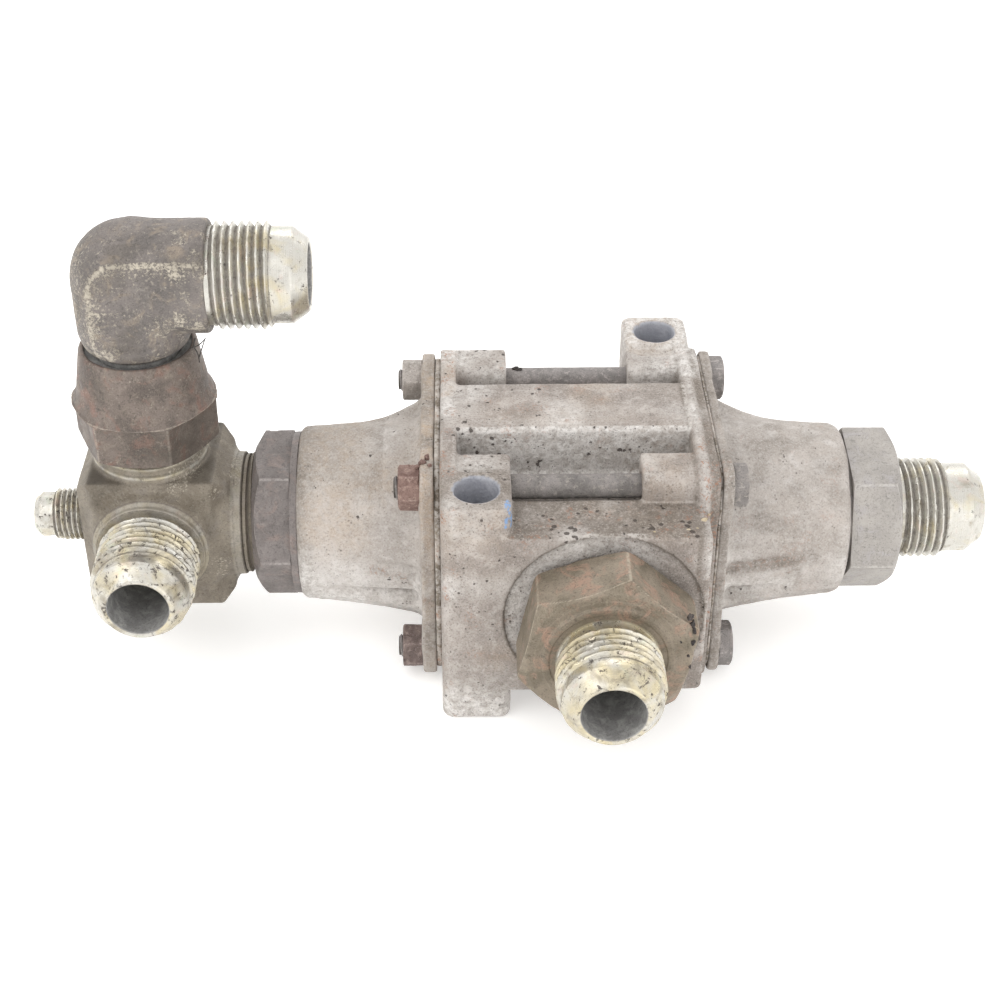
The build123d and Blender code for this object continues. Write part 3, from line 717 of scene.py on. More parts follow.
STEEL_LOOK = plain_look("shuttle_steel_look", (0.50, 0.50, 0.49), (0.62, 0.62, 0.60), 0.3, 0.9)
PLASTIC_LOOK = plain_look("seal_plastic_look", (0.76, 0.73, 0.66), (0.84, 0.82, 0.76), 0.5, 0.0)
SPRING_LOOK = plain_look("spring_look", (0.36, 0.36, 0.37), (0.50, 0.50, 0.50), 0.35, 0.9, 0.8)
RUBBER_LOOK = plain_look("seal_rubber_look", (0.02,) * 3, (0.045, 0.043, 0.04), 0.7, 0.0, 0.8, 0.1, 0.4)
WIRE_LOOK = plain_look("wire_look", (0.04, 0.036, 0.034), (0.10, 0.09, 0.08), 0.6, 0.3, 0.5)


# ------------------------------------------------------------------ central housing
def bead(p, x, top, radius, y_from, y_to, z_from):
    """A raised bead that follows the rounded outline of a flange, over its top and down its front."""
    flat = outline(p[1], p[2] - AXIS_Z, (FLANGE, FLANGE), FLANGE_CORNER)
    d = np.sqrt((flat - top) ** 2 + (p[0] - x) ** 2) - radius
    d = smax(d, np.maximum(p[1] - y_to, y_from - p[1]), 1.0)
    return smax(d, z_from - p[2], 1.5)


def clipped_paint(**parts):
    """Paint attributes, kept between 0 and 1: worn and stained colour as well as painted light and shade."""
    return {key: np.clip(value, 0, 1) for key, value in parts.items()}


def body_shape(p):
    d = None
    for side in (-1, 1):
        face = BODY_FACE[side]
        low, high = sorted((side * face, side * 30.4))
        half = FLANGE if side < 0 else FLANGE - 1.0
        plate = slab(p, 0, low, high, (0, AXIS_Z), (half, half), half - BOLT, 0.6)
        d = plate if d is None else np.minimum(d, plate)
        low, high = sorted((side * face, side * 16.7))
        for bolt in BOLTS:
            d = smin(d, slab(p, 0, low, high, bolt, BOLT_PAD, 3.0, 0.8), 0.9)
        low, high = sorted((side * 16.7, side * 34.6))
        centre, half = ((low + high) / 2, side * 38.65), ((high - low) / 2, 8.55)
        d = smin(d, slab(p, 2, BODY_LO[2], BODY_HI[2], centre, half, 3.0, 1.2), 1.0)
    # Ribs above and behind, the barrel, and the front block with its neck
    d = smin(d, slab(p, 0, -33.7, 31.0, (0, AXIS_Z), (11.6, 34.2), 1.5, 0.5), 1.2)
    d = smin(d, slab(p, 0, -33.7, 31.0, (17.1, AXIS_Z), (17.1, 11.6), 1.5, 0.5), 1.2)
    d = smin(d, bead(p, 32.3, -1.6, 1.9, -36, 26, 48), 0.3)
    d = smin(d, slab(p, 0, -33.7, 35.4, (0, AXIS_Z), (23.4, 20.4), 2.5, 0.5), 1.8)
    d = smin(d, slab(p, 1, BODY_LO[1], -31.0, (3.85, AXIS_Z + 0.55), (29.35, 24.95), 1.6, 0.8), 1.1)
    d = smin(d, slab(p, 1, -37.5, -17.5, (7.2, AXIS_Z), (23.6, 20.4), 1.5, 0.5), 1.4)
    # Bore, seat pockets, holes, spot face and front port
    d = np.maximum(d, -rod(p, 0, -60, 60, CENTRE[1:], 17.15))
    for side in (-1, 1):
        low, high = sorted((side * 29.6, side * 60))
        d = np.maximum(d, -rod(p, 0, low, high, CENTRE[1:], 19.1))
        d = smax(d, -rod(p, 2, -50, 120, (side * COLUMN_X, side * COLUMN_Y), 5.6), 0.8)
    for bolt in BOLTS:
        d = np.maximum(d, -rod(p, 0, -60, 60, bolt, BOLT_HOLE))
    port = (PORT_X, AXIS_Z)
    d = smax(d, -rod(p, 1, -80, -46.65, port, 25.5), 0.25)
    for depth, radius in ((-29.9, 16.75), (-44.9, 18.6), (-10, 9.0)):
        d = np.maximum(d, -rod(p, 1, -80, depth, port, radius))
    return d


def body_paint(co, normal):
    """Grime in the pockets, pale feet and shoulders, rusty flanges and a blue smear below one hole, with a
    painted highlight on the flange bead and painted light in the pocket and on the back.
    """
    x, y, z = co.T
    rise = z - AXIS_Z
    noise, slow = noise3(co, 9.0, 3), noise3(co, 16.0, 5)
    around = np.hypot(x - PORT_X, rise)
    up = normal[:, 2] > 0.6
    front = (y < -46) & (normal[:, 1] < -0.6)
    ring = front & (around < 25.4) & (y > -47.2)
    wall = (y < -8) & (y > -15) & (rise > 18) & (normal[:, 1] < -0.3)
    shelf = (y < -11) & up & (rise > 18) & (rise < 24)
    ledge = (y < -30) & up & (rise > 22) & (rise < 28)
    roof = up & (rise > 32)
    foot = smooth_step(-z, -16, -3) * (x < -14)
    front_ear = np.hypot(x + COLUMN_X, y + COLUMN_Y)
    ear = np.minimum(np.hypot(x - COLUMN_X, y - COLUMN_Y), front_ear)
    hole = (ear < 6.4) & (np.abs(normal[:, 2]) < 0.8)
    seam = smooth_step(-(BODY_FACE[1] - x), -1.6, -0.2) + smooth_step(-(x + BODY_FACE[-1]), -1.6, -0.2)
    left = smooth_step(-x, 29.5, 31.5)
    right = smooth_step(x, 29.0, 31.0)
    pit = 0.1 + 0.7 * wall + 0.75 * (ledge | shelf) + 0.12 * front
    pit += 0.45 * roof * smooth_step(-x + 6 * noise, -2, 12)
    bloom = 0.28 * smooth_step(noise, 0.1, 0.7) + 1.0 * foot
    # Pale crust on the pocket wall, laid on thick as painted light against the pocket's shade
    bloom += wall * (0.8 + 0.2 * smooth_step(noise3(co, 5, 7), -0.5, 0.4))
    # A painted highlight along the flange bead
    bloom += 0.5 * line(x - 32.3, 1.2) * (rise > 12) * (np.maximum(-y, rise) > 30)
    # Pale crust on the back, laid on more widely as painted light
    bloom += 0.4 * (y > 30) * (ear > 6.4) * (z > 66)
    bloom += 0.75 * (y > 14) * smooth_step(noise3(co, 8, 37), -0.7, 0.2) * (1 - (ear < 6.4))
    bloom += 0.6 * ring * smooth_step(-(x - PORT_X) + 0.6 * rise, -12, 10)
    bloom += 0.45 * roof * smooth_step(noise3(co, 11, 9), 0.05, 0.55)
    bloom += 0.45 * left * smooth_step(noise, -0.2, 0.4)
    warm = 0.3 * smooth_step(noise3(co, 14, 5), 0.1, 0.7) + 0.5 * left * (y > 5)
    warm += 0.45 * (ear < 12) * up * (y > 0)
    shade = ledge * smooth_step(-noise, -1.0, 0.0) + 0.45 * shelf + 0.30 * ring
    shade += 0.55 * seam * smooth_step(noise, -0.6, 0.2) + 0.35 * roof * smooth_step(-slow, 0.0, 0.6)
    shade += 0.95 * (y < -44) * smooth_step(-np.abs(around - 25.5), -0.8, -0.1)
    shade += 0.35 * smooth_step(noise3(co, 6, 19), 0.25, 0.75) + 0.3 * right * smooth_step(-noise, -0.3, 0.5)
    shade += 0.35 * front * smooth_step(-rise, 14, 24)
    rim = (rise > 12) * (np.maximum(-y, rise) > 29)
    beside_bead = 1.4 * line(x - 34.5, 0.55) + line(x - 30.1, 0.5)
    shade += rim * (beside_bead + 0.45 * (x > 34.5))
    shade += 0.6 * (front_ear < 12) * up
    rust = 0.8 * left * smooth_step(noise3(co, 4, 21), 0.0, 0.5)
    rust += 0.8 * right * (y < -20) * smooth_step(noise3(co, 3, 23), -0.1, 0.5)
    rust += 0.5 * smooth_step(noise3(co, 5, 25), 0.45, 0.8)
    rust += 0.6 * ledge * smooth_step(noise3(co, 2.5, 27), 0.2, 0.6)
    smear = (np.hypot(x + 17.2, y + 46.4) < 3.2) * (z > 62) * (x > -18.6) * 0.95
    blue = hole * 0.55 * smooth_step(z, 30, 62)
    return clipped_paint(pit=pit, bloom=bloom, warm=warm, shade=shade, rust=rust, smear=smear, blue=blue)


grain = (11.0, 0.10, 1), (3.0, 0.06, 2), (1.2, 0.05, 3)
body = casting("valve_casting", BODY_LO, BODY_HI, 0.6, body_shape, grain, body_paint)
settle(body, "housing", "cast_body", BODY_LOOK, "valve_body")


# ------------------------------------------------------------------ end caps
def cap_shape(side, flange_out, stations, radii):
    """A flange with four bolt pads and a round neck, held by webs towards two of its corners."""
    end, face = stations[-1], CAP_FACE[side]

    def shape(p):
        s = side * p[0]
        rise = p[2] - AXIS_Z
        rho = np.sqrt(p[1] ** 2 + rise**2)
        low, high = sorted((side * face, side * flange_out))
        plate = slab(p, 0, low, high, (0, AXIS_Z), (31.4, 31.4), 8.0, 0.6)
        for bolt in BOLTS:
            plate = smin(plate, slab(p, 0, low, high, bolt, BOLT_PAD, 5.5, 0.6), 1.5)
        neck = smax(rho - np.interp(s, stations, radii), np.maximum(s - end, face - s), 0.6)
        d = smin(plate, neck, 4.0)
        for corner, reach, width, length in ((1, 29.6, 15.0, 17.0), (-1, 27.8, 13.0, 27.0)):
            out = corner * (p[1] + rise) / 2**0.5
            across = corner * (p[1] - rise) / 2**0.5
            t = np.clip((s - flange_out - 1) / (length - 1), 0, 1)
            top = 22.6 + (reach - 22.6) * (1 - t)
            web = smax(np.abs(across) - width / 2 + 3.0 * t, out - top, 1.6)
            web = np.maximum(web, np.maximum(s - flange_out - length, np.maximum(face - s, 8 - out)))
            d = smin(d, web, 2.4)
            # A shallow valley beside each web
            beside = np.sqrt((out - 24.3) ** 2 * 0.35 + (across - (width / 2 + 1.8)) ** 2) - 1.5
            beside = smax(beside, np.maximum(s - flange_out - 25, flange_out + 2 - s), 2.0)
            d = smax(d, -beside, 1.6)
        # A longer valley along the neck's front, above the lower web
        low_line = -1.9 + 0.13 * (s - 42)
        valley = np.sqrt((p[1] + 26.6) ** 2 * 0.45 + (rise - low_line) ** 2) - 2.0
        valley = valley + 0.05 * np.maximum(s - 44, 0)
        d = smax(d, -smax(valley, np.maximum(s - 64, flange_out + 1.5 - s), 2.0), 2.0)
        d = np.maximum(d, face - s)
        bores = (15.5, 0, 57.35), (10.5, 0, 61), (16.72, 60.5, 90), (18.6, end - 1.8, 90)
        for radius, first, last in bores:
            low, high = sorted((side * first, side * last))
            d = np.maximum(d, -rod(p, 0, low, high, CENTRE[1:], radius))
        for bolt in BOLTS:
            d = np.maximum(d, -rod(p, 0, -60, 60, bolt, BOLT_HOLE))
        return d

    return shape


def cap_paint(side, flange_out, end):
    """A pale, warm left cap with a stain along its neck, and a greyer right one with painted shade along its
    front valley and a painted highlight on the ridge below.
    """
    def paint(co, normal):
        x, y, z = co.T
        rise = z - AXIS_Z
        s = side * x
        noise, slow = noise3(co, 7.0, 4), noise3(co, 15.0, 6)
        low = smooth_step(-rise, -8, 16)
        rear = smooth_step(-s, -flange_out - 12, -flange_out - 2)
        if side < 0:
            patches = 0.6 + 0.5 * smooth_step(noise3(co, 4.5, 61), -0.4, 0.3)
            bloom = 0.13 + low * smooth_step(slow, -1.0, 0.0) * patches + 0.2 * smooth_step(noise, 0, 0.5)
            warm = 0.6 * smooth_step(rise, -4, 12) * smooth_step(slow, -0.6, 0.3)
            shade = 0.75 * smooth_step(s, end - 7, end - 1) * smooth_step(noise, -0.7, 0.3)
            shade = shade + 0.45 * smooth_step(rise, 14, 22) * (s > 50)
            stain = np.exp(-((rise + 5.3 - 0.35 * (s - 43)) ** 2) / 3.0) * (y < -8)
            stain = stain * smooth_step(-s, -62, -52) * smooth_step(noise3(co, 3, 31), -0.5, 0.2)
            shade = shade + 0.7 * stain + 0.3 * rear * smooth_step(noise, -0.2, 0.5)
            rust = 0.5 * stain + 0.6 * np.exp(-(((s - 44) ** 2 + (y + 26) ** 2 + (rise - 26) ** 2)) / 60.0)
        else:
            bloom = 0.12 + 0.4 * smooth_step(noise, -0.2, 0.5) * line(rise + 2, 11)
            warm = 0.10 * smooth_step(slow, 0, 0.6)
            valley = line(rise + 1.9 - 0.13 * (s - 42), 2.0) * (y < -6) * smooth_step(-s, -66, -56)
            crest = np.exp(-((y + 2.5) ** 2) / 2.5) * (rise > 20) * smooth_step(-s, -66, -54)
            crest = crest * smooth_step(noise, -0.9, 0.2)
            # A painted highlight on the ridge below the front valley
            bloom = bloom + 0.5 * np.exp(-((rise + 8) ** 2) / 14) * (y < 0) * (s < 60)
            shade = 0.12 + 1.6 * valley + 0.8 * crest + 0.3 * smooth_step(-rise, 10, 22)
            shade = shade + 0.5 * smooth_step(noise3(co, 5, 33), 0.0, 0.6)
            # Red-brown patches, with more along the front valley as painted shade
            rust = 0.25 * smooth_step(noise3(co, 4, 35), 0.3, 0.7) + 0.35 * valley
        plate = smooth_step(-s, -flange_out - 0.6, -flange_out + 0.4)
        shade = shade + plate * (0.2 + 0.4 * smooth_step(noise, -0.2, 0.5))
        warm = warm + plate * (0.5 if side < 0 else 0.1)
        bloom = bloom * (1 - 0.5 * plate)
        pit = 0.08 + 0.3 * smooth_step(noise, 0.2, 0.6)
        return clipped_paint(pit=pit, bloom=bloom, warm=warm, shade=shade, rust=rust)

    return paint


# Side, flange's outer face, then the neck's radius at each distance from the valve's middle
CAPS = (
    ("left", -1, 39.85, ((30, 25.4), (43.6, 25.3), (50, 24.9), (71.6, 23.6), (LEFT_END, 22.4))),
    (
        "right",
        1,
        39.9,
        (
            (30, 25.2),
            (44.4, 25.1),
            (50, 24.8),
            (67, 23.6),
            (71.4, 23.4),
            (73.0, 22.8),
            (73.8, 21.7),
            (RIGHT_END, 20.8),
        ),
    ),
)
for name, side, flange_out, neck in CAPS:
    stations, radii = zip(*neck)
    low, high = span(name + "_end_cap")
    cap = casting(
        name + "_cap_casting",
        low,
        high,
        0.5,
        cap_shape(side, flange_out, stations, radii),
        ((12.0, 0.14, 11 + side), (4.0, 0.08, 12), (1.3, 0.05, 13)),
        cap_paint(side, flange_out, stations[-1]),
    )
    settle(cap, "housing", "cast_cap", CAP_LOOK, name + "_end_cap")

    low, high = span(name + "_gasket")

    def sheet_shape(p, low=low, high=high):
        d = slab(p, 0, low[0] + 0.03, high[0] - 0.03, (0, AXIS_Z), (32.6, 32.6), 7.0, 0.15)
        d = np.maximum(d, -rod(p, 0, -60, 60, CENTRE[1:], 16.5))
        for bolt in BOLTS:
            d = np.maximum(d, -rod(p, 0, -60, 60, bolt, BOLT_HOLE))
        ragged = 0.45 * noise3(np.stack(np.broadcast_arrays(p[0] * 0, p[1], p[2]), axis=-1), 2.4, 8)
        trimmed = slab(p, 0, low[0] - 5, high[0] + 5, (0, AXIS_Z), (32.4, 32.4), 7.0, 0.1)
        return np.maximum(d, trimmed + ragged)

    def sheet_paint(co, normal):
        noise = noise3(co, 5, 9)
        bloom = 0.6 * smooth_step(noise, 0, 0.5)
        return clipped_paint(pit=noise, bloom=bloom, warm=noise, shade=0.3 - noise, rust=noise)

    step = 0.45 if side < 0 else 0.3
    gasket = casting(name + "_gasket_sheet", low, high, step, sheet_shape, (), sheet_paint)
    settle(gasket, "housing", "gasket", GASKET_LOOK, name + "_gasket")


# ------------------------------------------------------------------ tie bolts and nuts
for spot in ("front_top", "front_bottom", "back_top", "back_bottom"):
    foot = (0, BOLT if "back" in spot else -BOLT, AXIS_Z + (BOLT if "top" in spot else -BOLT))
    node = "tie_bolt_" + spot
    low, high = span(node)
    head = high[0] - 3.9
    shank = (low[0], 0), (low[0], 2.5), (low[0] + 0.7, 3.175), (head, 3.175)
    top = (head, 5.6), (head + 0.4, 6.6), (high[0] - 0.75, 6.6), (high[0], 5.2), (high[0] - 0.25, 0)
    bolt = lathe(
        node + "_piece",
        foot,
        X,
        run("body", *shank, *top),
        seg=96,
        step=0.9,
        soft=0.15,
        start=corner_angle(node, foot, X, head - 0.1, high[0]),
        hexes=((head, high[0], BOLT_FLATS, 0.25),),
        threads=((low[0], low[0] + 13, 3.175, 1.27, 0.6),),
        wobble=0.05,
        seed=len(spot),
    )
    settle(bolt, "housing", "dark_bolt_steel", HEAD_LOOK if spot != "front_top" else ROD_LOOK, node)
    node = "tie_nut_" + spot
    low, high = span(node)
    near, far = -high[0], -low[0]
    inner = (near, 0), (near, 5.6), (near + 0.4, 6.6), (far - 0.75, 6.6)
    outer = (far, 5.2), (far, 3.35), (far - 0.2, 3.3), (far - 0.35, 0)
    nut = lathe(
        node + "_piece",
        foot,
        LEFT,
        run("body", *inner, *outer),
        seg=96,
        step=0.6,
        soft=0.2,
        start=corner_angle(node, foot, LEFT, near, far),
        hexes=((near, far, BOLT_FLATS, 0.4),),
        wobble=0.16,
        seed=len(spot) + 5,
    )
    skin = {"back_top": GREY_NUT_LOOK, "front_bottom": DARK_NUT_LOOK}.get(spot, RUST_LOOK)
    settle(nut, "housing", "rusty_nut_steel", skin, node)


# ------------------------------------------------------------------ threaded fittings
def flare(base, thread_from, thread_to, nose, tip, depth):
    """A size 12 flare end from its flow bore's closed end out over the cone to the relief groove."""
    bore = (depth, 0), (depth, 7.9), (tip - 0.5, 7.9)
    lip = (tip - 0.15, 8.3), (tip, 8.9), (tip - 0.3, 9.35)
    cone = (tip - (nose - 9.1) * 1.327, nose), (thread_to, nose)
    thread = (thread_to - 0.9, CREST), (thread_from + 0.7, CREST), (thread_from, 12.5), (base, 12.5)
    return run("bore", *bore) + run("zinc", *lip, *cone, *thread)


def hex_end(points, node, origin, direction, hexagon, thread, material, slot, seed):
    """An adapter with one hexagon and one thread, turned to the CAD hexagon's corners."""
    start = corner_angle(node, origin, direction, hexagon[0], hexagon[1])
    name = node + "_piece"
    piece = lathe(
        name, origin, direction, points, seg=192, start=start, hexes=(hexagon,), threads=(thread,), seed=seed
    )
    return settle(piece, "housing", slot, material, node)


low, high = span("right_adapter")
seat, inner = RIGHT_END + 0.02, low[0]
right_hexagon = (88.1, 12.7), (88.1, 19.2), (85.8, 23.2), (75.1, 23.2), (74.6, 22.0), (74.6, 19.3)
right_spigot = (seat, 19.3), (seat, 16.6), (inner + 1, 16.6), (inner, 15.6), (inner, 0)
hex_end(
    flare(88.0, 90.5, 102.4, 12.2, high[0], 66) + run("body", *right_hexagon, *right_spigot),
    "right_adapter",
    CENTRE,
    X,
    (74.6, 88.1, 39.69, 0.25),
    (90.5, 102.4, CREST, THREAD_12, 1.35),
    GREY_HEX,
    "grey_hex_steel",
    21,
)

low, high = span("front_adapter")
front_rings = (64.3, 14.6), (64.55, 14.8), (64.55, 16.4), (63.9, 16.8), (63.9, 18.2), (63.8, 18.5)
front_hexagon = (63.8, 20.2), (61.2, 24.0), (49.8, 24.0), (49.3, 22.6), (49.3, 19.4)
front_spigot = (46.87, 19.4), (46.87, 16.6), (32.2, 16.6), (31.2, 15.6), (31.2, 0)
hex_end(
    flare(64.3, 66.9, 77.6, 12.5, -low[1], 36) + run("body", *front_rings, *front_hexagon, *front_spigot),
    "front_adapter",
    PORT,
    FORWARD,
    (49.3, 63.8, 41.28, 0.3),
    (66.9, 77.6, CREST, THREAD_12, 1.35),
    BRONZE_HEX,
    "yellow_zinc_steel",
    31,
)

low, high = span("left_adapter")
far = -low[0]
left_bore = (64, 0), (64, 10.5), (78.2, 10.5), (78.2, 16.75), (far - 1.1, 16.75)
left_hexagon = (far, 17.7), (far, 18.4), (far - 2.75, 23.1), (75.0, 23.1), (74.8, 22.8)
left_spigot = (74.8, 16.6), (63, 16.6), (62, 15.6), (62, 0)
piece = lathe(
    "left_adapter_piece",
    CENTRE,
    LEFT,
    run("bore", *left_bore) + run("body", *left_hexagon, *left_spigot),
    seg=192,
    start=corner_angle("left_adapter", CENTRE, LEFT, 75.1, far),
    hexes=((74.8, far, 39.69, 0.25),),
    wobble=0.04,
    seed=41,
)
settle(piece, "housing", "grey_hex_steel", DARK_HEX, "left_adapter")


def hoop(name, origin, direction, ring, seg=120):
    """A closed ring from a small closed section of (distance, radius) points."""
    u, v, w = axes_of(direction)
    section = []
    for a, b in zip(ring, ring[1:] + ring[:1]):
        n = max(2, math.ceil(math.hypot(b[0] - a[0], b[1] - a[1]) / 0.5))
        section += [(a[0] + (b[0] - a[0]) * k / n, a[1] + (b[1] - a[1]) * k / n) for k in range(n)]
    section = np.array(section)
    around = spokes(2 * np.pi * np.arange(seg) / seg, u, v)[0][:, None]
    co = np.array(origin) + section[None, :, :1] * w + section[None, :, 1:] * around
    co = co + 0.04 * noise3(co, 3.0, 6)[..., None] * around
    quads = loop_faces(seg, len(section))[:, ::-1]
    quads = quads if signed_area(ring) < 0 else quads[:, ::-1]
    return make_mesh(name, co.reshape(-1, 3), quads, [], {}, sharp=40)


low, high = span("left_port_washer")
ring = [(-high[0], 16.8), (-low[0], 16.8), (-low[0], 22.1), (-high[0], 22.25)]
washer = hoop("left_washer_piece", CENTRE, LEFT, ring)
settle(washer, "housing", "grey_hex_steel", DARK_HEX, "left_port_washer")


# ------------------------------------------------------------------ cross fitting
def cross_shape(p):
    """A forged block with its corners planed off, and a stepped lip around each port."""
    x, y, z = p[0] - CROSS_X, p[1], p[2] - AXIS_Z
    d = slab((x - 1.15, y, z), 2, -20.2, 20.2, (0, 0), (20.05, 16.4), 0.5, 0.5)
    d = smax(d, (np.abs(x - 1.15) + np.abs(y)) / 2**0.5 - (20.05 + 16.4 - 4.6) / 2**0.5, 0.6)
    d = smax(d, (np.abs(x - 1.15) + np.abs(z)) / 2**0.5 - (20.05 + 20.2 - 3.6) / 2**0.5, 0.6)
    d = smax(d, (np.abs(y) + np.abs(z)) / 2**0.5 - (16.4 + 20.2 - 1.6) / 2**0.5, 0.5)
    q = (x, y, z)
    d = smin(d, rod(q, 0, 10, 21.9, (0, 0), 17.3, 0.8), 2.0)
    d = smin(d, rod(q, 0, 12, 24.4, (0, 0), 16.9, 0.35), 0.5)
    d = smin(d, rod(q, 1, -17.4, -10, (0, 0), 15.4, 0.6), 1.2)
    d = smin(d, rod(q, 1, -18.7, -10, (0, 0), 14.7, 0.35), 0.4)
    d = smin(d, rod(q, 2, 10, 22.1, (0, 0), 15.3, 0.4), 0.8)
    d = smin(d, rod(q, 2, 10, 24.3, (0, 0), 14.4, 0.4), 0.4)
    d = smin(d, rod(q, 0, -19.4, -10, (0, 0), 7.6, 0.4), 1.0)
    d = np.maximum(d, -rod(q, 1, -40, 0, (0, 0), 7.9))
    d = np.maximum(d, -rod(q, 2, 0, 40, (0, 0), 7.9))
    d = np.maximum(d, -rod(q, 0, -40, 0, (0, 0), 3.8))
    return np.maximum(d, -rod(q, 0, -7.9, 40, (0, 0), 8.2))


def forged_paint(co, normal):
    """Bare forging: no zinc, bore or thread."""
    none = np.zeros(len(co))
    return {"zinc": none, "bore": none, "groove": none, "axial": none}


def cross_paint(co, normal):
    out = forged_paint(co, normal)
    x, y, z = co[:, 0] - CROSS_X, co[:, 1], co[:, 2] - AXIS_Z
    collar = (x > 21.6) & (np.hypot(y, z) > 15)
    top_lip = z > 20.7
    lip = ((y < -16.7) & (np.hypot(x, z) < 15.8)) | top_lip
    arcs = line(z - 24.0, 0.35) + line(z - 21.7, 0.35)
    outside = np.minimum(np.hypot(x, z), np.hypot(x, y)) > 8.4
    out["zinc"] = np.clip(0.22 * collar + 0.3 * lip + top_lip * (0.6 * arcs - 0.2), 0, 1) * outside
    roof = (z > 19.9) & (np.hypot(x, y) > 15.6)
    out["shade"] = 0.6 * roof * smooth_step(noise3(co, 6, 3), -0.8, 0.2)
    out["shade"] += 0.35 * smooth_step(noise3(co, 5, 13), 0.2, 0.7)
    # Painted shade lines in the steps of the lips and the collar, laid on through the groove attribute
    step_shade_lines = line(np.hypot(x, z) - 15.7, 0.35) * (y < -16) + line(np.hypot(x, z) - 14.2, 0.3) * (y < -18.2)
    step_shade_lines += line(x - 22.4, 0.35) + line(x - 24.3, 0.3) + 0.6 * line(z - 22.9, 0.3)
    out["groove"] = np.clip(step_shade_lines, 0, 1)
    out["crust"] = 0.5 * smooth_step(noise3(co, 5, 17), 0.2, 0.6) * (x > 6)
    deep = (np.hypot(x, z) < 8.3) & (y < 0) & (y > -17.9)
    deep |= (np.hypot(x, y) < 8.3) & (z > 0)
    deep |= (np.hypot(y, z) < 8.6) & (x > -8)
    out["bore"] = deep.astype(float)
    return out


block = casting(
    "cross_block",
    (CROSS_X - 20, -19.5, AXIS_Z - 20.2),
    (CROSS_X + 24.5, 16.4, AXIS_Z + 24.4),
    0.42,
    cross_shape,
    ((9.0, 0.08, 21), (3.0, 0.06, 22), (1.2, 0.035, 23)),
    cross_paint,
)
settle(block, "housing", "olive_zinc_steel", OLIVE, "cross_fitting")


def port_end(name, origin, direction, points, thread, material, slot, body, seed, seg=144):
    """One threaded end, turned onto a forging."""
    piece = lathe(
        name, origin, direction, points, seg=seg, soft=0.2, threads=(thread,), wobble=0.045, seed=seed
    )
    return settle(piece, body, slot, material)


low, high = span("cross_fitting")
tip = -low[1]
profile = flare(17.2, 19.7, 35.2, 12.4, tip, 12) + [(17.2, 0, "zinc")]
thread = (19.7, 35.2, CREST, THREAD_12, 1.35)
port_end("cross_front_end", CROSS, FORWARD, profile, thread, OLIVE, "olive_zinc_steel", "housing", 51)
tip = high[2] - AXIS_Z
profile = flare(21.0, 25.0, 36.6, 12.2, tip, 14) + [(21.0, 0, "zinc")]
thread = (25.0, 36.6, 13.49, THREAD_12, 1.25)
port_end("cross_top_end", CROSS, Z, profile, thread, OLIVE, "olive_zinc_steel", "housing", 52)
far = CROSS_X - low[0]
profile = run("bore", (10, 0), (10, 3.8), (far - 0.4, 3.8))
profile += run("zinc", (far, 4.2), (far, 4.7), (far - 1.7, 6.1), (28.1, 6.1))
profile += run("zinc", (27.6, 7.14), (20.2, 7.14), (19.6, 6.4), (18.0, 6.4), (18.0, 0))
thread = (19.4, 27.9, 7.14, 1.411, 0.85)
port_end("cross_left_end", CROSS, LEFT, profile, thread, OLIVE, "olive_zinc_steel", "housing", 53, 108)

end = high[0] - CROSS_X
profile = run("bore", (12, 0), (12, 10.0), (end - 0.4, 10.0))
profile += run("zinc", (end, 10.5), (end, 15.4), (end - 1, 16.6))
profile += run("body", (25.7, 16.6), (25.5, 16.3), (24.7, 16.3), (24.5, 15.7))
profile += run("zinc", (21.0, 15.7), (21.0, 0))
thread = (25.6, end, 16.6, THREAD_12, 1.2)
port_end("cross_stub_end", CROSS, X, profile, thread, OLIVE, "olive_zinc_steel", "housing", 54)


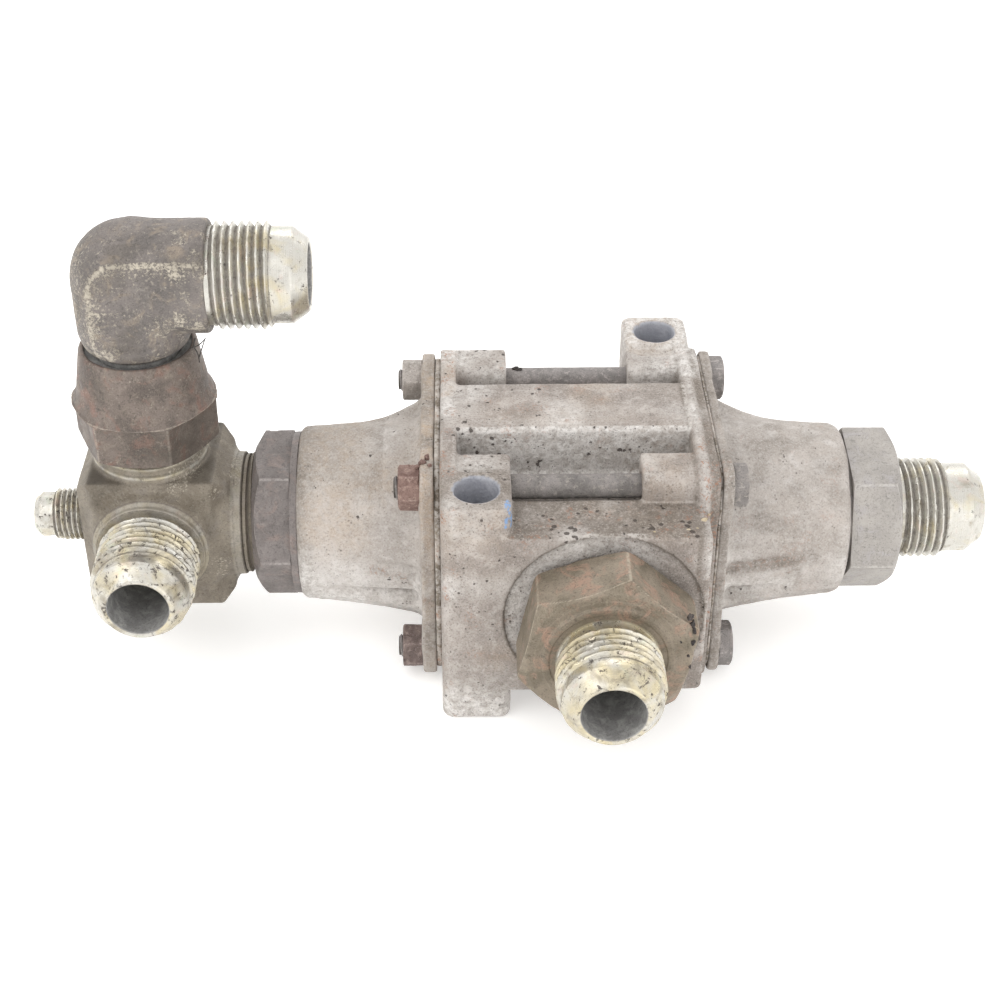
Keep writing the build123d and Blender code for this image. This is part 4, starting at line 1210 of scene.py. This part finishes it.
# ------------------------------------------------------------------ swivel nut
def shell(name, origin, direction, profile, seg, start, hexagon, seed):
    """A turned piece that is open right through: its profile is a closed loop of (distance, radius, zone)."""
    u, v, w = axes_of(direction)
    loop = [(s, r, ZONES[z]) for s, r, z in profile]
    loop = eased([loop[-1]] + loop + [loop[0]], 0.22)[1:-1]
    rows = []
    for a, b in zip(loop, loop[1:] + loop[:1]):
        n = max(1, math.ceil(math.hypot(b[0] - a[0], b[1] - a[1]) / (0.3)))
        for k in range(n):
            rows.append((a[0] + (b[0] - a[0]) * k / n, a[1] + (b[1] - a[1]) * k / n, b[2] if k else a[2]))
    rows = np.array(rows)
    theta = np.radians(start) + 2 * np.pi * np.arange(seg) / seg
    s, r, zone = (np.repeat(rows[:, n : n + 1], seg, axis=1) for n in range(3))
    outer = zone != ZONES["bore"]
    inside, ridge, cut = cut_hexagon(s, r, theta - np.radians(start), outer, hexagon, 0.05, 3.2)
    edge = np.where(inside, ridge, 0.0)
    r = np.where(inside, cut, r)
    ring = spokes(theta, u, v)
    co = np.array(origin) + s[..., None] * w + r[..., None] * ring
    dent = 0.05 * (noise3(co, 6.0, seed) + 0.7 * noise3(co, 1.8, seed + 1))
    dent = dent - 0.16 * smooth_step(noise3(co, 2.6, seed + 2), 0.6, 0.9) * (0.3 + edge)
    co = co + (dent * outer)[..., None] * ring
    quads = loop_faces(len(rows), seg)
    if signed_area(loop) > 0:
        quads = quads[:, ::-1]
    # A painted highlight along the brow above the hexagon, and painted shade on the flanks away from the
    # light
    edge = np.clip(edge + 0.8 * line(s - hexagon[1] + 0.3, 0.22) * outer, 0, 1)
    side = smooth_step((co[..., 0] - origin[0]) / 10, -0.2, 0.9)
    flank = outer * (s < hexagon[1] - 0.5)
    crust = 0.16 * smooth_step(noise3(co, 5, seed + 4), 0.0, 0.5) * (co[..., 1] < 0)
    shade = 0.35 * smooth_step(noise3(co, 6, seed + 5), 0.1, 0.6) + flank * (0.12 + 0.3 * side) + 0.12 * side
    bore = (zone == ZONES["bore"]).astype(float)
    attributes = {"bore": bore, "edge": edge, "axial": s, "crust": crust, "shade": shade}
    return make_mesh(name, co.reshape(-1, 3), quads, [], attributes, sharp=40)


low, high = span("swivel_nut")
base, top = low[2], high[2]
UP = (CROSS_X, 0, 0)
profile = run("bore", (80.6, 13.55), (61.9, 13.55), (base + 0.2, 14.8))
profile += run("body", (base, 15.1), (base, 16.7), (61.8, 19.45), (72.5, 19.45), (73.4, 18.3), (76.0, 17.3))
profile += run("body", (79.5, 16.75), (87.8, 15.35), (top, 14.75), (top, 14.0))
profile += run("bore", (87.2, 13.8), (87.2, 11.3), (80.6, 11.3))
start = corner_angle("swivel_nut", UP, Z, base, top)
nut = shell("swivel_nut_piece", UP, Z, profile, 192, start, (base, 73.2, 33.34, 0.15), 61)
settle(nut, "nut", "brown_forged_steel", BROWN, "swivel_nut")


# ------------------------------------------------------------------ elbow
low, high = span("elbow_fitting")
foot = low[2] - SWIVEL_Z


def elbow_shape(p):
    """A leg and an arm joined by a ball, with flat sides, above the nose that the nut holds."""
    q = (p[0] - CROSS_X, p[1], p[2] - SWIVEL_Z)
    x, y, z = q
    radius = 14.75 - 1.35 * np.clip((-13.4 - z) / 4.6, 0, 1) ** 1.5
    leg = stretch(np.sqrt(x * x + y * y) - radius, np.abs(z + 9) - 9, 0.4)
    ball = np.sqrt(x * x + y * y + z * z) - 14.75
    arm = rod(q, 0, 0, 20.5, (0, 0), 14.5, 1.1)
    d = smin(smin(leg, ball, 0.3), arm, 1.6)
    flat = 11.75 + 2.6 * smooth_step(-z, 12.6, 15.6) * (np.abs(x) < 15)
    d = smax(d, np.abs(y) - flat, 0.4)
    tail = rod(q, 2, foot + 4.6, -16, (0, 0), 11.05, 0.2)
    seat = rod(q, 2, foot, foot + 4.65, (0, 0), 13.15, 0.25)
    d = np.minimum(np.minimum(d, tail), seat)
    cone = (np.sqrt(x * x + y * y) - 12.3 + (z - foot) * 0.754) * 0.8
    d = np.maximum(d, -np.maximum(cone, z - foot - 5))
    d = np.maximum(d, -rod(q, 2, -60, 0, (0, 0), 7.9))
    return np.maximum(d, -rod(q, 0, -6.9, 60, (0, 0), 7.9))


def elbow_paint(co, normal):
    """A pale crust along the flat side's rim and below the thread."""
    out = forged_paint(co, normal)
    x, y, z = (co - np.array(BEND)).T
    inside = (np.hypot(x, y) < 8.3) & (z < 0) | (np.hypot(y, z) < 8.3) & (x > -7)
    out["bore"] = (inside | (z < -19.5)).astype(float)
    front = y < -11.0
    arc = np.where(z > 0, np.where(x > 0, z, np.hypot(x, z)), -x)
    rim = line(arc - 8.8, 0.6) * front * ((z > 0) | (x < 0))
    near = line(arc - 7.4, 2.2) * front
    fine = noise3(co, 2.5, 41)
    arm = (x > 12) & (y < -3)
    crust = rim * (0.45 + 0.5 * (z > 0)) + 0.5 * near + 0.5 * arm * smooth_step(fine, -0.3, 0.4)
    crust += 0.45 * smooth_step(-x, 7, 12) * (y < 4)
    crust += 0.5 * front * (z < -4) * smooth_step(noise3(co, 6, 45), -0.1, 0.4)
    crust += 0.5 * (z < -15.5) * (z > -18.2) * (y < -6) * smooth_step(fine, -0.4, 0.2)
    out["crust"] = np.clip(crust, 0, 1)
    out["shade"] = 0.45 * smooth_step(noise3(co, 7, 43), 0.0, 0.6) * (normal[:, 1] < -0.5)
    return out


elbow = casting(
    "elbow_forging",
    (CROSS_X - 14.8, -14.3, low[2]),
    (CROSS_X + 20.6, 14.3, high[2]),
    0.4,
    elbow_shape,
    ((10.0, 0.07, 31), (3.0, 0.05, 32), (1.1, 0.04, 33)),
    elbow_paint,
)
settle(elbow, "elbow", "dark_forged_steel", DARK, "elbow_fitting")
tip = high[0] - CROSS_X
profile = flare(20.3, 21.4, 36.4, 12.2, tip, 12) + [(20.3, 0, "zinc")]
thread = (21.4, 36.4, CREST, THREAD_12, 1.35)
port_end("elbow_end", BEND, X, profile, thread, DARK, "dark_forged_steel", "elbow", 71)


# ------------------------------------------------------------------ crumbs, flakes and frayed wire
def crumbs(name, lumps, material, slot, body, seed):
    """Small ragged lumps, each at (place, size), stuck to a surface."""
    rows, seg = 9, 14
    lat = np.linspace(0, np.pi, rows + 2)[1:-1, None]
    lon = 2 * np.pi * np.arange(seg)[None, :] / seg
    unit = np.broadcast_arrays(np.sin(lat) * np.cos(lon), np.sin(lat) * np.sin(lon), np.cos(lat))
    unit = np.concatenate([np.stack(unit, axis=-1).reshape(-1, 3), [(0, 0, 1), (0, 0, -1)]])
    quads, tris = (faces[:, ::-1] for faces in ring_faces(rows, seg))
    points, squares, corners = [], [], []
    for n, (place, size) in enumerate(lumps):
        ragged = 1 + 0.45 * noise3(unit, 0.7, seed + n) + 0.25 * noise3(unit, 0.3, seed + n + 50)
        points.append(unit * ragged[:, None] * np.array(size) + np.array(place))
        squares.append(quads + n * len(unit))
        corners.append(tris + n * len(unit))
    piece = make_mesh(name, np.concatenate(points), np.concatenate(squares), np.concatenate(corners), {})
    return settle(piece, body, slot, material)


def strand(name, path, radius, seed):
    """A stiff end of frayed wire along a smoothed path."""
    path = np.array(path, float)
    for _ in range(3):
        a, b = path[:-1], path[1:]
        corners = np.stack([0.75 * a + 0.25 * b, 0.25 * a + 0.75 * b], 1).reshape(-1, 3)
        path = np.concatenate([path[:1], corners, path[-1:]])
    ahead = np.gradient(path, axis=0)
    ahead /= np.linalg.norm(ahead, axis=1)[:, None]
    u = np.cross(ahead, (0.3, 1.0, 0.2))
    u /= np.linalg.norm(u, axis=1)[:, None]
    v = np.cross(ahead, u)
    seg = 8
    turn = 2 * np.pi * np.arange(seg) / seg
    thick = radius * (1 + 0.25 * noise3(path, 0.8, seed))[:, None, None]
    ring = np.cos(turn)[None, :, None] * u[:, None] + np.sin(turn)[None, :, None] * v[:, None]
    co = (path[:, None] + thick * ring).reshape(-1, 3)
    quads, tris = ring_faces(len(path), seg)
    piece = make_mesh(name, np.concatenate([co, path[:1], path[-1:]]), quads, tris, {})
    return settle(piece, "elbow", "wire_steel", WIRE_LOOK)


WIRES = (
    ("a", 0.17, [(-97.0, -3, 91.5), (-97.7, -3.5, 89.3), (-96.5, -4, 87.4), (-96.4, -4.2, 84.9)]),
    ("b", 0.15, [(-94.6, -2.5, 91.0), (-95.5, -3.2, 88.6), (-96.4, -3.9, 86.2)]),
    ("c", 0.14, [(-98.4, -5, 89.6), (-96.2, -4.4, 89.9), (-94.4, -2.8, 91.2)]),
)
for seed, (letter, radius, path) in enumerate(WIRES, 1):
    strand("frayed_wire_" + letter, path, radius, seed)

soot = [
    ((26.5, -62.0, 46.0), (0.9, 0.7, 1.0)),
    ((27.3, -62.2, 44.0), (0.6, 0.5, 1.3)),
    ((27.8, -62.4, 41.9), (0.5, 0.5, 1.0)),
    ((27.5, -63.1, 38.9), (0.7, 0.5, 0.8)),
    ((26.6, -63.6, 35.4), (0.4, 0.4, 0.6)),
    ((27.0, -63.4, 31.6), (0.5, 0.4, 0.7)),
    ((24.5, -63.7, 39.7), (0.35, 0.3, 0.4)),
]
crumbs("hexagon_crumbs", soot, CRUMB_LOOK, "gasket", "housing", 3)
grit = [((-13.8, 26.2, 63.8), (1.0, 0.8, 0.55)), ((-12.6, 26.0, 63.7), (0.5, 0.6, 0.4))]
crumbs("rod_crumb", grit, CRUMB_LOOK, "gasket", "housing", 9)
scale = [
    ((-39.0, -24.6, 67.2), (1.0, 1.2, 0.8)),
    ((-38.0, -22.8, 67.4), (0.7, 0.9, 0.7)),
    ((-40.3, -25.8, 66.2), (0.6, 0.8, 0.9)),
    ((-40.6, -30.2, 65.2), (0.7, 0.8, 0.6)),
    ((-37.2, -26.3, 67.3), (0.6, 0.6, 0.5)),
]
crumbs("rust_crumbs", scale, RUST_LOOK, "rusty_nut_steel", "housing", 15)
flakes = [
    ((31.6, -40.2, 59.6), (0.9, 0.7, 0.35)),
    ((27.2, -44.4, 59.6), (0.6, 0.45, 0.25)),
    ((29.4, -43.8, 59.6), (0.4, 0.3, 0.2)),
    ((18.7, -45.2, 59.6), (0.45, 0.35, 0.2)),
    ((33.0, -38.0, 59.6), (0.35, 0.5, 0.25)),
]
crumbs("pale_flakes", flakes, FLAKE_LOOK, "gasket", "housing", 27)

# ------------------------------------------------------------------ hidden nodes keep their CAD shape
KEPT = (
    (BRONZE_LOOK, "left_seat_ring right_seat_ring"),
    (STEEL_LOOK, "shuttle_spool left_disc_retainer right_disc_retainer left_spring_plate right_spring_plate"),
    (PLASTIC_LOOK, "left_seal_disc right_seal_disc"),
    (SPRING_LOOK, "left_spring right_spring"),
    (RUBBER_LOOK, "left_port_oring right_port_oring front_port_oring"),
    (WIRE_LOOK, "nut_retaining_wire"),
)
for look, nodes in KEPT:
    for node in nodes.split():
        mesh = frame["nodes"][node].data
        mesh.materials.clear()
        mesh.materials.append(look)

# ------------------------------------------------------------------ floor, lights and camera
FLOOR = 4.0
corners = [(-FLOOR, -FLOOR, 0), (FLOOR, -FLOOR, 0), (FLOOR, FLOOR, 0), (-FLOOR, FLOOR, 0)]
floor_mesh = bpy.data.meshes.new("studio_floor")
floor_mesh.from_pydata(corners, [], [(0, 1, 2, 3)])
floor = bpy.data.objects.new("studio_floor", floor_mesh)
bpy.context.scene.collection.objects.link(floor)
floor.location.z = BODY_LO[2] * 0.001 - 0.0002
paper = Look("floor_paper")
tone = paper.mix(paper.band(paper.noise(60, 3), 0.3, 0.7), (0.90, 0.90, 0.895), (0.93, 0.93, 0.925))
floor_mesh.materials.append(paper.done(tone, 0.9, 0.0, None, 0.2, 0.35))

world = bpy.data.worlds.new("studio")
bpy.context.scene.world = world
world.use_nodes = True
sky = world.node_tree.nodes["Background"]
sky.inputs["Color"].default_value = (1.0, 0.995, 0.985, 1)
sky.inputs["Strength"].default_value = 1.25


def softbox(name, place, target, width, power, colour=(1, 1, 1)):
    """A rectangular lamp that faces a target."""
    light = bpy.data.lights.new(name, "AREA")
    light.shape = "RECTANGLE"
    light.size, light.size_y = width
    light.energy = power
    light.color = colour
    lamp = bpy.data.objects.new(name, light)
    bpy.context.scene.collection.objects.link(lamp)
    lamp.location = place
    lamp.rotation_euler = (Vector(target) - Vector(place)).to_track_quat("-Z", "Y").to_euler()


softbox("key_softbox", (-0.6, -0.45, 0.75), (-0.02, 0, 0.04), (0.8, 0.8), 2.6, (1.0, 0.995, 0.985))
softbox("fill_softbox", (0.6, -0.8, 0.35), (0, 0, 0.03), (0.7, 0.7), 1.6, (0.985, 0.99, 1.0))
softbox("back_softbox", (0.1, 0.8, 0.7), (0, 0, 0.04), (0.9, 0.4), 2.2)

lens = bpy.data.cameras.new("photo_camera")
lens.sensor_width = 36.0
lens.lens = 65.84
lens.shift_x = 0.0252
lens.shift_y = 0.0009
lens.clip_start = 0.01
camera = bpy.data.objects.new("photo_camera", lens)
bpy.context.scene.collection.objects.link(camera)
camera.location = (-0.02864, -0.40949, 0.3287)
aim = (Vector((-0.02557, 0, 0.0374)) - camera.location).to_track_quat("-Z", "Y").to_matrix()
roll = Matrix.Rotation(math.radians(-0.213), 3, "Z")
camera.rotation_euler = (aim @ roll).to_euler()
bpy.context.scene.camera = camera
bpy.context.scene.view_settings.view_transform = "Standard"
